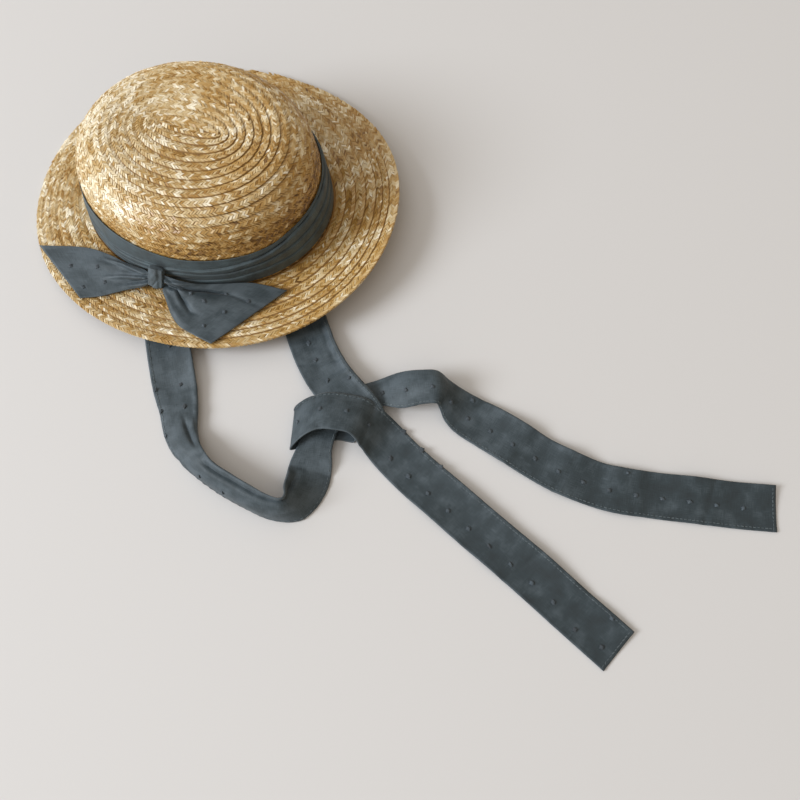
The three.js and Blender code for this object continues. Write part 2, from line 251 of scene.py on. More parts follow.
# %% The brim's form
def brim_middle(turn, out):
    """The middle of the brim's straw: out is 0 at the crown and 1 at the edge."""
    c, s = np.cos(turn), np.sin(turn)
    power = 2 / BRIM_SQUARE
    x_edge = BRIM_A * np.sign(c) * np.abs(c) ** power
    y_edge = BRIM_B * np.sign(s) * np.abs(s) ** power
    x_foot = (CROWN_A + BRIM_INNER_GAP) * c + CROWN_FROM_BRIM[0]
    y_foot = (CROWN_B + BRIM_INNER_GAP) * s + CROWN_FROM_BRIM[1]
    edge = BRIM_EDGE + 0 * turn
    for waves, along, across in BRIM_WARP:
        edge = edge + along * np.cos(waves * turn) + across * np.sin(waves * turn)
    share = np.clip(out, 0, 1.2)
    z = CROWN_FOOT + (edge - CROWN_FOOT) * share**BRIM_RAMP
    return in_row(x_foot + (x_edge - x_foot) * out, y_foot + (y_edge - y_foot) * out, z)


print("brim edge", [round(float(x), 3) for x in brim_middle(0.0, np.float64(1.0))])

# %% [markdown]
# Strips, stitches and tufts have to lie along a surface, so they ask it for its directions. These
# are found by taking two places close together and looking from one to the other. It works for
# any form, where a formula would have to be written for each.

# %% Directions on a form
NEARBY = 1e-4


def unit(v):
    return v / np.maximum(np.linalg.norm(v, axis=-1, keepdims=True), 1e-12)


def surface_axes(middle, turn, down):
    """Directions on a straw surface: along the plait, across it, and outwards."""
    along = middle(turn + NEARBY, down) - middle(turn - NEARBY, down)
    across = middle(turn, np.minimum(down + NEARBY, 1)) - middle(turn, np.maximum(down - NEARBY, 0))
    return unit(along), unit(across), unit(np.cross(across, along))


def run_along(track):
    """How far along a line each of its places lies, from 0."""
    return np.concatenate([[0], np.cumsum(np.linalg.norm(np.diff(track, axis=0), axis=1))])


ROUND_THE_EDGE = brim_middle(np.linspace(0, 2 * math.pi, 361), np.ones(361))
print("round the brim's edge:", round(run_along(ROUND_THE_EDGE)[-1], 3), "m")

# %% [markdown]
# A pattern is a chain of small nodes: a noise, drawn out along one direction, worked on with a
# little arithmetic, and read as a height. Each helper adds one link to the chain and gives back
# the socket that the next one reads.


# %% Links of a pattern
def noise_on(nodes, links, vector, scale, detail=3.0):
    texture = nodes.new("ShaderNodeTexNoise")
    texture.inputs["Scale"].default_value = scale
    texture.inputs["Detail"].default_value = detail
    links.new(vector, texture.inputs["Vector"])
    return texture.outputs["Fac"]


def stretched(nodes, links, vector, scale):
    mapping = nodes.new("ShaderNodeMapping")
    mapping.inputs["Scale"].default_value = scale
    links.new(vector, mapping.inputs["Vector"])
    return mapping.outputs["Vector"]


def arithmetic(nodes, links, operation, first, second):
    sum_node = nodes.new("ShaderNodeMath")
    sum_node.operation = operation
    for socket, value in zip(sum_node.inputs, (first, second)):
        if isinstance(value, (int, float)):
            socket.default_value = value
        else:
            links.new(value, socket)
    return sum_node.outputs["Value"]


def number_on_points(nodes, name):
    """Reads a number that a mesh carries on its points."""
    attribute = nodes.new("ShaderNodeAttribute")
    attribute.attribute_name = name
    return attribute.outputs["Fac"]


def flat_map(nodes, name):
    """Reads a piece's own UV map."""
    uv = nodes.new("ShaderNodeUVMap")
    uv.uv_map = name
    return uv.outputs["UV"]


def bump(nodes, links, shader, height, strength, distance):
    relief = nodes.new("ShaderNodeBump")
    relief.inputs["Strength"].default_value = strength
    relief.inputs["Distance"].default_value = distance
    links.new(height, relief.inputs["Height"])
    links.new(relief.outputs["Normal"], shader.inputs["Normal"])


print("patterns are chains of noise, arithmetic and colour")

# %% [markdown]
# Straw is glossy on its outer skin, but not evenly. Each flat strip has its own tone, from
# brown through gold to nearly white, and fine fibres run along it. So each strip carries a
# number called tone on its points. A colour ramp turns that number into straw colours, and
# stripes along the strip's own UV map break it up. One colour for all would look like plastic.

# %% The straw
STRAW_TONES = (
    (0.0, (0.13, 0.062, 0.016)),
    (0.3, (0.40, 0.22, 0.052)),
    (0.5, (0.49, 0.32, 0.12)),
    (0.75, (0.66, 0.53, 0.31)),
    (1.0, (0.90, 0.83, 0.66)),
)
FIBRES_ACROSS = 900.0
FIBRES_ALONG = 60.0
FIBRE_CONTRAST = 0.5
FIBRE_RELIEF = 0.2 * MM


def straw_material(name, roughness):
    material = bpy.data.materials.new(name)
    nodes, links, shader = shader_nodes(material)
    drawn = stretched(nodes, links, flat_map(nodes, "strip"), (FIBRES_ACROSS, FIBRES_ALONG, 1))
    fibres = noise_on(nodes, links, drawn, 1.0, 2.0)
    centred = arithmetic(nodes, links, "SUBTRACT", fibres, 0.5)
    stripe = arithmetic(nodes, links, "MULTIPLY", centred, FIBRE_CONTRAST)
    shade = arithmetic(nodes, links, "ADD", number_on_points(nodes, "tone"), stripe)
    links.new(colour_ramp(nodes, links, shade, STRAW_TONES), shader.inputs["Base Color"])
    shader.inputs["Roughness"].default_value = roughness
    shader.inputs["Specular IOR Level"].default_value = 0.5
    bump(nodes, links, shader, fibres, 0.25, FIBRE_RELIEF)
    return material


STRAW = straw_material("straw", 0.35)
STRAW_CORE = straw_material("straw core", 0.7)
print("straw tones:", len(STRAW_TONES))

# %% [markdown]
# One strip of the plait shows as a small flat leaf. It leans across its row, and its ends are cut
# along the row, so a row of leaves closes without gaps. It is made once, from a cube whose top is
# a little smaller than its bottom, and then set down thousands of times. Such a shape has only
# six sides. That is enough, because the pattern comes from the lean of the leaves, from their
# slanted flanks and from the thin dark gaps between them.

# %% One leaf of straw
LEAF_FLAT = 0.80
LEAF_END = 0.90


def points_and_corners(bm):
    """Turns a bmesh of triangles into arrays, with its faces pointing outwards, and frees it."""
    bmesh.ops.recalc_face_normals(bm, faces=bm.faces)
    points = np.array([v.co[:] for v in bm.verts])
    corners = np.array([[v.index for v in f.verts] for f in bm.faces])
    bm.free()
    return points, corners


def leaf_shape():
    bm = bmesh.new()
    bmesh.ops.create_cube(bm, size=1.0)
    for v in bm.verts:
        if v.co.z > 0:
            v.co.x *= LEAF_FLAT
            v.co.y *= LEAF_END
    bmesh.ops.triangulate(bm, faces=bm.faces)
    return points_and_corners(bm)


LEAF = leaf_shape()
print("one leaf:", len(LEAF[0]), "points,", len(LEAF[1]), "faces")

# %% [markdown]
# To set a leaf down many times, its points are turned and moved by an array of axes, and all the
# copies are joined in one mesh. Placing objects one by one would take minutes for the same.


# %% Setting a small shape down many times
def joined_piece(name, points, faces, tone, uv, uv_name, material):
    """A piece from arrays of points and triangles, with a tone on its points and a UV map."""
    mesh = bpy.data.meshes.new(name)
    mesh.from_pydata(points.tolist(), [], faces.tolist())
    mesh.attributes.new("tone", "FLOAT", "POINT")
    mesh.attributes["tone"].data.foreach_set("value", tone.astype(np.float32))
    layer = mesh.uv_layers.new(name=uv_name)
    layer.data.foreach_set("uv", uv[faces.ravel()].astype(np.float32).ravel())
    mesh.materials.append(material)
    mesh.validate()
    return linked(name, mesh)


def set_down(name, shape, places, frames, sizes, tones, material, seed, uv_name="strip"):
    """Copies of a shape at places, with frames of three unit axes and their own sizes."""
    points, faces = shape
    rng = np.random.default_rng(seed)
    count = len(places)
    local = points[None, :, :] * sizes[:, None, :]
    world = np.einsum("nij,nkj->nki", frames, local) + places[:, None, :]
    first_points = (np.arange(count) * len(points))[:, None, None]
    all_faces = (faces[None, :, :] + first_points).reshape(-1, 3)
    shift = rng.uniform(0, 1, (count, 2))
    uv = (local[:, :, :2] + shift[:, None, :]).reshape(-1, 2)
    tone = np.repeat(tones, len(points))
    return joined_piece(name, world.reshape(-1, 3), all_faces, tone, uv, uv_name, material)


print("copies are joined with arrays")

# %% [markdown]
# A plait row is a flat band. Each round laps over the next, so its outer edge stands a little
# proud and its inner edge is tucked under the round before. Because the rows are one long
# spiral, a place on the straw is told by how many turns it lies along the spiral, and by its
# share across the row. At the brim's edge the last row can't just stop, so it narrows to nothing
# over a short way.

# %% Rows of the spiral
LAP = 0.6 * MM
ROUND = 0.65 * MM
CROWN_ROWS = 21
BRIM_ROWS = 7
BRIM_TUCK = 0.077
BRIM_BEGIN = math.radians(115)
TAPER = 0.1


def row_line(sigma, rows, tapered):
    """Where the line between two rows lies at a place along the spiral: 0 to 1 over all rows."""
    row = np.floor(sigma)
    share = sigma - row
    if tapered:
        outer = np.clip((row - (rows - 3)) / 2, 0, 1)
        late = np.clip((share - 1 + TAPER) / TAPER, 0, 1)
        share = share * (1 - outer) + late * late * (3 - 2 * late) * outer
    return (row + share) / rows


def crown_sheet(sigma, share):
    """A place on the crown: sigma counts turns along the spiral, share runs across the row."""
    inner, outer = row_line(sigma, CROWN_ROWS, False), row_line(sigma + 1, CROWN_ROWS, False)
    return 2 * math.pi * sigma, inner + (outer - inner) * share


def brim_sheet(sigma, share):
    """The same for the brim, where the last row tapers off."""
    inner, outer = row_line(sigma, BRIM_ROWS, True), row_line(sigma + 1, BRIM_ROWS, True)
    return BRIM_BEGIN + 2 * math.pi * sigma, inner + (outer - inner) * share


def brim_rows(turn, down):
    """The brim's form for its rows, the first of which is tucked in under the crown."""
    return brim_middle(turn, down * (1 + BRIM_TUCK) - BRIM_TUCK)


def lap_height(share):
    """How far a row stands off the middle surface, from its tucked edge to its proud edge."""
    return LAP * (2 * share - 1) + ROUND * 4 * share * (1 - share)


def lap_slope(share, width):
    """The rise of that section across a row of the given width, as an angle."""
    return np.arctan((2 * LAP + ROUND * 4 * (1 - 2 * share)) / width)


print("rows:", CROWN_ROWS, "on the crown and", BRIM_ROWS, "on the brim")

# %% [markdown]
# Under the leaves lies a core, which closes the gaps between them. Its dark tone is painted shade
# in those gaps. It is a thin sheet with exactly the steps of the rows, and it winds down the form
# like a screw. It starts as a flat grid whose points are moved to their places. The grid's last
# column lands on its first column one row further on, so the seam closes by itself once doubles
# are merged.

# %% The straw core with lapped rows
CORE_WALL = 0.5 * MM
STEP_LINES = (0.0, 0.25, 0.5, 0.75, 0.96)
# The core's dark tone is painted shade in the gaps between the leaves.
CORE_SHADE_TONE = 0.13
MERGE = 0.03 * MM
SLIVER = 0.02 * MM


def grid_mesh(name, columns, rows):
    """A flat grid, with the place of each of its points along and across it, from 0 to 1."""
    bm = bmesh.new()
    bmesh.ops.create_grid(bm, x_segments=columns, y_segments=rows, size=0.5)
    mesh = bpy.data.meshes.new(name)
    bm.to_mesh(mesh)
    bm.free()
    flat = np.zeros(len(mesh.vertices) * 3, np.float32)
    mesh.vertices.foreach_get("co", flat)
    flat = flat.reshape(-1, 3)
    return mesh, flat[:, 0] + 0.5, flat[:, 1] + 0.5


def move_points(mesh, place):
    mesh.vertices.foreach_set("co", place.astype(np.float32).ravel())


def give_wall(piece, thickness):
    """Makes a sheet as thick as real straw or cloth, half of it to each side."""
    wall = piece.modifiers.new("wall", "SOLIDIFY")
    wall.thickness = thickness
    wall.offset = 0.0
    wall.use_even_offset = False


def close_seam(mesh, merge, sliver=None):
    """Merges the points that meet at a seam, and turns the faces outwards."""
    bm = bmesh.new()
    bm.from_mesh(mesh)
    bmesh.ops.remove_doubles(bm, verts=bm.verts, dist=merge)
    if sliver:
        bmesh.ops.dissolve_degenerate(bm, edges=bm.edges, dist=sliver)
    bmesh.ops.recalc_face_normals(bm, faces=bm.faces)
    bm.to_mesh(mesh)
    bm.free()


def wound_core(name, middle, sheet, rows, columns, ends):
    """The core of a form: ends are where its first and last line lie, from 0 to 1."""
    lines = [(row + share, share) for row in range(-1, rows) for share in STEP_LINES]
    mesh, along, across = grid_mesh(name, columns, len(lines) - 1)
    around = np.clip(np.rint(along * columns), 0, columns) / columns
    line = np.clip(np.rint(across * (len(lines) - 1)), 0, len(lines) - 1).astype(int)
    row, share = np.array(lines)[line].T
    around = np.where(around == 1, 1 - 1e-9, around)
    turn, down = sheet(np.round(row - share) + around, share)
    down = np.clip(down, *ends)
    _, _, outward = surface_axes(middle, turn, np.clip(down, 0.01, 0.99))
    move_points(mesh, middle(turn, down) + outward * lap_height(share)[:, None])
    close_seam(mesh, MERGE, SLIVER)
    tone = mesh.attributes.new("tone", "FLOAT", "POINT")
    tone.data.foreach_set("value", np.full(len(mesh.vertices), CORE_SHADE_TONE, np.float32))
    mesh.uv_layers.new(name="strip")
    mesh.materials.append(STRAW_CORE)
    mesh.shade_smooth()
    piece = linked(name, mesh)
    give_wall(piece, CORE_WALL)
    print(name, len(mesh.polygons), "faces in", rows, "rows")
    return piece


crown_core = wound_core("crown_core", crown_middle, crown_sheet, CROWN_ROWS, 200, (0.0, 1.0))
brim_core = wound_core("brim_core", brim_rows, brim_sheet, BRIM_ROWS, 220, (0.075, 0.975))

# %% [markdown]
# The leaves lie on the core in three lanes a row. The outer two lean one way and the middle one
# leans the other way, so each row shows a string of small arrow shapes. Each leaf asks the
# surface for its directions, and is then turned, tipped, lifted and resized a little at random,
# since no strip of straw lies quite like the next. Nothing betrays a model sooner than leaves
# that all catch the light at once.

# %% A lane of leaves
LEAF_THICK = 0.66 * MM
LANES = ((0.18, 1), (0.5, -1), (0.8, 1))
LANE_WIDTH = 0.345
LEAF_LEAN = math.radians(44)
LEAF_ROLL = math.radians(6)
LEAF_NOD = math.radians(3)
LEAF_OVERLAP = 1.06
LIFT, LIFT_SPREAD = 0.18 * MM, 0.1 * MM
LEAN_SPREAD, NOD_SPREAD, ROLL_SPREAD, SIZE_SPREAD = 0.06, 0.09, 0.1, 0.06
NARROWEST_ROW = 0.35


def turned_in_plane(first, second, angle):
    """The direction that lies at an angle from the first towards the second."""
    return first * np.cos(angle)[:, None] + second * np.sin(angle)[:, None]


def lane_leaves(middle, sheet, sigma, share, side, pitch, ends, rng):
    """Places, axes and sizes of one lane of leaves at the given places along the spiral."""
    count = len(sigma)
    turn, down = sheet(sigma, share)
    _, inner = sheet(sigma, 0 * share)
    _, outer = sheet(sigma, 0 * share + 1)
    span = outer - inner
    keep = (down > ends[0]) & (down < ends[1]) & (span > NARROWEST_ROW * span.max())
    down = np.clip(down, 0.001, 1)
    along, across, outward = surface_axes(middle, turn, np.clip(down, 0.004, 0.996))
    low = np.clip(down - span / 2, 0, 1 - span)
    width = np.linalg.norm(middle(turn, low + span) - middle(turn, low), axis=1)
    lean = side * LEAF_LEAN + rng.normal(0, LEAN_SPREAD, count)
    nose = unit(turned_in_plane(along, across, lean))
    rise = side * lap_slope(share, width) + rng.normal(LEAF_NOD, NOD_SPREAD, count)
    nose = nose + outward * (np.sin(rise) * math.sin(LEAF_LEAN))[:, None]
    flank = turned_in_plane(along, outward, rng.normal(LEAF_ROLL, ROLL_SPREAD, count))
    uneven = LIFT + LIFT_SPREAD * rng.normal(0, 1, count).clip(-1.5, 1.5)
    place = middle(turn, down) + outward * (lap_height(share) + uneven)[:, None]
    long = width * LANE_WIDTH / math.sin(LEAF_LEAN)
    sizes = np.column_stack([0 * width + pitch * LEAF_OVERLAP, long, 0 * width + LEAF_THICK])
    sizes = sizes * rng.normal(1, SIZE_SPREAD, (count, 3))
    return place[keep], np.stack([flank, nose, outward], -1)[keep], sizes[keep], keep


print("a row has", len(LANES), "lanes of leaves")

# %% [markdown]
# The tone of the leaves drifts slowly along the plait, because one straw runs on for a few
# centimetres, and from one part of the hat to another. Here and there a short run of leaves is
# much paler. Each leaf also differs a little from its neighbours. A few show the pale, glossy
# outside of the straw, and a few its brown inside.

# %% The tones of the leaves
MIDDLE_TONE = 0.5
STRAW_DRIFT, STRAW_PATCH = 0.24, 24 * MM
AREA_DRIFT, AREA_PATCH = 0.16, 30 * MM
PALE_RUN, PALE_RUN_LENGTH = 0.25, 7 * MM
TONE_SPREAD = 0.12
# Pale runs grow likelier where the painted highlight is strong.
PALE_FROM, PALE_OVER, PALE_RUNS_IN_PAINTED_LIGHT = 0.15, 0.2, 0.5
GLOSSY_SHARE, GLOSSY_BY = 0.06, 0.24
BROWN_FROM, BROWN_BY = 0.93, 0.18
DARKEST_LEAF = 0.04


def patches(places, size, seed):
    """A slow random number from about -1 to 1 at each place, with patches of the given size."""
    shift = Vector((seed * 7.1, seed * 3.3, seed * 1.7))
    return np.array([noise.noise(Vector(p) / size + shift) for p in places])


def leaf_tones(run, place, painted_light, seed, rng):
    """Tones of leaves: run is their place along the straw, and the third gives painted light at a
    place.
    """
    tone = MIDDLE_TONE + STRAW_DRIFT * patches(run, STRAW_PATCH, seed)
    tone = tone + AREA_DRIFT * patches(place, AREA_PATCH, seed + 1)
    # The painted highlight of a place also makes pale runs likelier there.
    bright = patches(run * (1, 0, 0), PALE_RUN_LENGTH, seed + 2) + PALE_RUNS_IN_PAINTED_LIGHT * painted_light(place)
    tone = tone + PALE_RUN * np.clip((bright - PALE_FROM) / PALE_OVER, 0, 1)
    chance = rng.random(len(place))
    # The painted highlight and painted shade of each place are added to its leaves.
    tone = tone + rng.normal(0, TONE_SPREAD, len(place)) + painted_light(place)
    tone = tone + np.where(chance < GLOSSY_SHARE, GLOSSY_BY, 0)
    tone = tone - np.where(chance > BROWN_FROM, BROWN_BY, 0)
    return np.clip(tone, DARKEST_LEAF, 1)


print("tones drift over", STRAW_PATCH, "m of straw")

# %% [markdown]
# A whole plait follows the spiral. Its length is measured on the form first, and the leaves are
# then set out at even steps of that length. Even steps of turn would crowd them in the middle of
# the crown and pull them apart at the brim's edge.

# %% One plait
STEPS_A_TURN = 720
PITCH_SPREAD, LANE_SPREAD = 0.06, 0.015


def plait(name, middle, sheet, first, last, ends, pitch, seed, painted_light):
    """Leaves from turn first to turn last of the spiral, a pitch apart."""
    rng = np.random.default_rng(seed)
    fine = np.linspace(first, last, int((last - first) * STEPS_A_TURN) + 1)
    turn, down = sheet(fine, 0 * fine + 0.5)
    length = run_along(middle(turn, np.clip(down, 0, 1)))
    count = int(length[-1] / pitch)
    parts = []
    for lane, side in LANES:
        marks = (np.arange(count) + (0.25 if side > 0 else 0.75)) * pitch
        sigma = np.interp(marks + rng.normal(0, PITCH_SPREAD, count) * pitch, length, fine)
        share = lane + rng.normal(0, LANE_SPREAD, count)
        place, frames, sizes, keep = lane_leaves(middle, sheet, sigma, share, side, pitch, ends, rng)
        run = np.column_stack([marks, 0 * marks + lane * 0.02, 0 * marks])[keep]
        parts.append((place, frames, sizes, leaf_tones(run, place, painted_light, seed, rng)))
    places, frames, sizes, tones = (np.concatenate(x) for x in zip(*parts))
    piece = set_down(name, LEAF, places, frames, sizes, tones, STRAW, seed)
    print(name, len(places), "leaves,", len(piece.data.polygons), "faces")
    return piece


print("a plait has", STEPS_A_TURN, "measuring points a turn")

# %% [markdown]
# The straw of this hat looks palest at the left of the crown's top, darker on the crown's wall,
# and a little paler at the left of the brim. The lamp and the room give most of that, but not all
# of it, so two small functions paint the rest into the straw's tone: a painted highlight towards
# the left of the crown and the brim, and painted shade towards the right and on the crown's wall.
# Being part of the straw's colour, this painted light stays with it in any other light.

# %% Painted highlight and shade on the straw
# Painted light: an even offset, a slope from a lighter left to a darker right, more highlight at the
# far left, and painted shade on the crown's wall.
CROWN_PALER, CROWN_LIGHT_ACROSS, CROWN_LEFT_HIGHLIGHT = 0.05, 0.07, 0.2
WALL_BELOW, WALL_OVER, WALL_PAINTED_SHADE = 75 * MM, 20 * MM, 0.3
BRIM_PALER, BRIM_LIGHT_ACROSS, BRIM_LEFT_HIGHLIGHT = 0.01, 0.06, 0.06


# Painted highlight and painted shade on the crown's straw.
def crown_painted_light(place):
    shaded_wall = np.clip((WALL_BELOW - place[:, 2]) / WALL_OVER, 0, 1)
    side = (place[:, 0] - HAT_AT[0]) / CROWN_A
    painted_offset = CROWN_PALER - CROWN_LIGHT_ACROSS * side + CROWN_LEFT_HIGHLIGHT * np.clip(-side, 0, 1)
    return painted_offset - WALL_PAINTED_SHADE * shaded_wall


# Painted highlight and painted shade on the brim's straw.
def brim_painted_light(place):
    side = (place[:, 0] - HAT_AT[0]) / BRIM_A
    return BRIM_PALER - BRIM_LIGHT_ACROSS * side + BRIM_LEFT_HIGHLIGHT * np.clip(-side, 0, 1)


print("the wall is darker below", WALL_BELOW, "m")

# %% [markdown]
# The crown's plait is made in two pieces, since the leaves on its side are set a little closer
# than those on its top. Both follow the same spiral, so the side goes on where the top ends.

# %% The three plaits
TOP_ROWS = 12.6
TOP_PITCH, SIDE_PITCH, BRIM_PITCH = 2.2 * MM, 2.0 * MM, 2.2 * MM
BRIM_LAST = BRIM_ROWS - 0.001
ON_CROWN = (crown_middle, crown_sheet)
ON_BRIM = (brim_rows, brim_sheet)

crown_top_plait = plait(
    "crown_top_plait", *ON_CROWN, -1.0, TOP_ROWS, (-0.002, 2), TOP_PITCH, 11, crown_painted_light
)
crown_side_plait = plait(
    "crown_side_plait", *ON_CROWN, TOP_ROWS, CROWN_ROWS, (0, 1.005), SIDE_PITCH, 12, crown_painted_light
)
brim_plait = plait(
    "brim_plait", *ON_BRIM, -0.5, BRIM_LAST, (0.085, 1.0), BRIM_PITCH, 13, brim_painted_light
)

# %% [markdown]
# At the edge of the brim the strips turn over, so from the side it shows as a row of short twists
# across the edge. They are the same leaf again, stood on end along the rim.

# %% The turned edge of the brim
EDGE_LEAF = (2.5 * MM, 2.1 * MM, 0.8 * MM)
EDGE_PITCH = 2.8 * MM
EDGE_LEAN = math.radians(50)
EDGE_LINE, EDGE_MIDDLE = 0.99, 0.985
EDGE_DRIFT, EDGE_SPREAD = 0.3, 0.1


def brim_edge(name, seed):
    rng = np.random.default_rng(seed)
    fine = np.linspace(0, 1, 1441)
    length = run_along(brim_rows(2 * math.pi * fine, 0 * fine + EDGE_LINE))
    count = int(length[-1] / EDGE_PITCH)
    share = np.interp((np.arange(count) + 0.5) / count * length[-1], length, fine)
    turn = 2 * math.pi * share
    along, across, outward = surface_axes(brim_rows, turn, 0 * turn + EDGE_LINE)
    nose = unit(turned_in_plane(along, outward, EDGE_LEAN + rng.normal(0, 0.08, count)))
    place = brim_rows(turn, 0 * turn + EDGE_MIDDLE) + outward * 0.05 * MM
    sizes = np.array(EDGE_LEAF) * rng.normal(1, SIZE_SPREAD, (count, 3))
    frames = np.stack([along, nose, across], -1)
    run = np.column_stack([share * length[-1], 0 * share, 0 * share])
    tones = MIDDLE_TONE + EDGE_DRIFT * patches(run, STRAW_PATCH, seed)
    tones = tones + rng.normal(0, EDGE_SPREAD, count)
    # The edge's leaves get the brim's painted highlight and painted shade too.
    tones = np.clip(tones + brim_painted_light(place), DARKEST_LEAF, 1)
    return set_down(name, LEAF, place, frames, sizes, tones, STRAW, seed)


brim_rim = brim_edge("brim_rim", 14)
print("brim_rim:", len(brim_rim.data.polygons), "faces")

# %% [markdown]
# Each piece now says which body it rides on and which plain solid it stands in for. The core and
# the leaves replace their solid together.

# %% The straw takes the place of its solids
for piece in (crown_core, crown_top_plait, crown_side_plait):
    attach(piece, "root")
    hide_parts("crown")
for piece in (brim_core, brim_plait, brim_rim):
    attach(piece, "root")
    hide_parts("brim")
print("straw pieces: 6")

# %% [markdown]
# The ribbon is plain woven cotton, dyed a greyish blue. Close up it isn't even: thicker yarns
# show as faint streaks along and across, and the dye has taken more in some places than in
# others. A painted highlight makes it paler along its rims, and painted shade makes the free ends
# of the ties darker. All of its patterns are measured on the flat cloth, through a UV map in
# metres, so they follow every fold and twist. A little sheen stands for the fuzz on the yarns.

# %% The cotton
YARN_FINE, YARN_LONG = 2600, 160
YARN_CONTRAST = 0.42
YARN_RELIEF = 0.3 * MM
DYE_BLOTCHES = 75.0
# A painted highlight along the rims, and a deep stop under the low dye colour for the darkest
# blotches and the painted shade at the ties' free ends.
RIM_HIGHLIGHT = 0.16
DEEP_DYE_AND_SHADE = 0.62
DEEP_AT, LOW_AT, HIGH_AT = 0.06, 0.34, 0.66


def cotton_material(name, low, high, sheen):
    """Cotton between dye colours: the points' edge number adds a painted highlight, or painted shade
    below 0.
    """
    material = bpy.data.materials.new(name)
    nodes, links, shader = shader_nodes(material)
    flat = flat_map(nodes, "cloth")
    warp = stretched(nodes, links, flat, (YARN_FINE, YARN_LONG, 1))
    weft = stretched(nodes, links, flat, (YARN_LONG, YARN_FINE, 1))
    streaks = (noise_on(nodes, links, warp, 1.0, 2.0), noise_on(nodes, links, weft, 1.0, 2.0))
    yarns = arithmetic(nodes, links, "ADD", *streaks)
    faint = arithmetic(nodes, links, "MULTIPLY", yarns, YARN_CONTRAST)
    mixed = arithmetic(nodes, links, "ADD", faint, noise_on(nodes, links, flat, DYE_BLOTCHES, 4.0))
    centred = arithmetic(nodes, links, "SUBTRACT", mixed, YARN_CONTRAST)
    painted_offset = arithmetic(nodes, links, "MULTIPLY", number_on_points(nodes, "edge"), RIM_HIGHLIGHT)
    shade = arithmetic(nodes, links, "ADD", centred, painted_offset)
    deep = tuple(x * DEEP_DYE_AND_SHADE for x in low)
    dye = colour_ramp(nodes, links, shade, ((DEEP_AT, deep), (LOW_AT, low), (HIGH_AT, high)))
    links.new(dye, shader.inputs["Base Color"])
    shader.inputs["Roughness"].default_value = 0.62
    shader.inputs["Specular IOR Level"].default_value = 0.5
    shader.inputs["Sheen Weight"].default_value = sheen
    shader.inputs["Sheen Roughness"].default_value = 0.5
    bump(nodes, links, shader, yarns, 0.35, YARN_RELIEF)
    return material


RIBBON_COTTON = cotton_material("ribbon cotton", (0.020, 0.034, 0.042), (0.062, 0.084, 0.100), 0.1)
BAND_COTTON = cotton_material("band cotton", (0.030, 0.043, 0.048), (0.056, 0.084, 0.096), 0.08)
KNOT_COTTON = cotton_material("knot cotton", (0.036, 0.048, 0.054), (0.066, 0.092, 0.108), 0.1)
THREAD = cotton_material("sewing thread", (0.06, 0.08, 0.09), (0.11, 0.14, 0.155), 0.1)
TUFT_YARN = cotton_material("tuft yarn", (0.026, 0.034, 0.041), (0.052, 0.072, 0.090), 0.1)
print("cotton colours are set")

# %% [markdown]
# The table of a ribbon holds only a few rows, so something has to run smoothly through them. A
# curve through all rows does that. For the places in space its speed is also evened out, since a
# plain curve swings out where two rows lie far apart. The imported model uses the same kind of
# curve, so cloth and model agree until lifts and folds are added.


# %% A smooth curve through the rows of a table
def smooth_rows(rows, t, even):
    """A curve through all rows, at t from 0 to 1: with even set, it doesn't overshoot at gaps."""
    rows = np.asarray(rows, float)
    padded = np.vstack([2 * rows[0] - rows[1], rows, 2 * rows[-1] - rows[-2]])
    place = np.clip(t, 0, 1) * (len(rows) - 1)
    index = np.minimum(place.astype(int), len(rows) - 2)
    w = (place - index)[:, None]
    p0, p1, p2, p3 = (padded[index + i] for i in range(4))
    start, end = (p2 - p0) / 2, (p3 - p1) / 2
    if even:
        pairs = ((p0, p1), (p1, p2), (p2, p3))
        d0, d1, d2 = (np.linalg.norm(b - a, axis=1)[:, None] ** 0.5 for a, b in pairs)
        start = ((p1 - p0) / d0 - (p2 - p0) / (d0 + d1) + (p2 - p1) / d1) * d1
        end = ((p2 - p1) / d1 - (p3 - p1) / (d1 + d2) + (p3 - p2) / d2) * d1
    hold = (2 * w**3 - 3 * w**2 + 1) * p1 + (3 * w**2 - 2 * w**3) * p2
    return hold + (w**3 - 2 * w**2 + w) * start + (w**3 - w**2) * end


print("a curve through 0, 1 and 4 passes", smooth_rows([[0], [1], [4]], np.array([0.75]), False)[0])

# %% [markdown]
# Each tie is sewn to the inside of the crown and comes out from under the brim. Nobody sees its
# start, but it has to be there, because a library part may be turned over. A few rows lay it
# flat against the inside of the wall, as wide as the ribbon and a little hollow like the wall.

# %% The sewn starts of the ties
RIBBON = 31.0
CLOTH = 1.2
TURNED = math.degrees(HAT_TURN)
SEWN_IN = 4.7 * MM
SEWN_RISES = (28, 14, 2, -4)


def sewn_rows(turn, bow):
    """The start of a tie, flat against the inside of the crown: rows like the tie's own."""
    rows = []
    angle = math.radians(turn)
    for rise in SEWN_RISES:
        a, b = (float(x) for x in crown_axes(np.array(rise * MM)))
        x = (a - SEWN_IN) * math.cos(angle) + CROWN_FROM_BRIM[0]
        y = (b - SEWN_IN) * math.sin(angle) + CROWN_FROM_BRIM[1]
        place = in_row(x, y, CROWN_FOOT + rise * MM) / MM
        lie = math.degrees(math.atan(-(b * math.cos(angle)) / (a * math.sin(angle))))
        rows.append((*place, TURNED + lie, 0, bow, RIBBON))
    return rows


print("sewn starts have", len(SEWN_RISES), "rows")

# %% [markdown]
# From there a ribbon is a flat sheet in a long bend. The tables hold places on its middle line,
# with the compass angle across it, its tilt, how far its middle stands proud, and its width. The
# width is 31 mm where it lies flat and less where it runs in folds. In front of the brim the two
# ties cross each other, and the right one also crosses itself. The heights of their layers are
# stacked there, with some room between them.

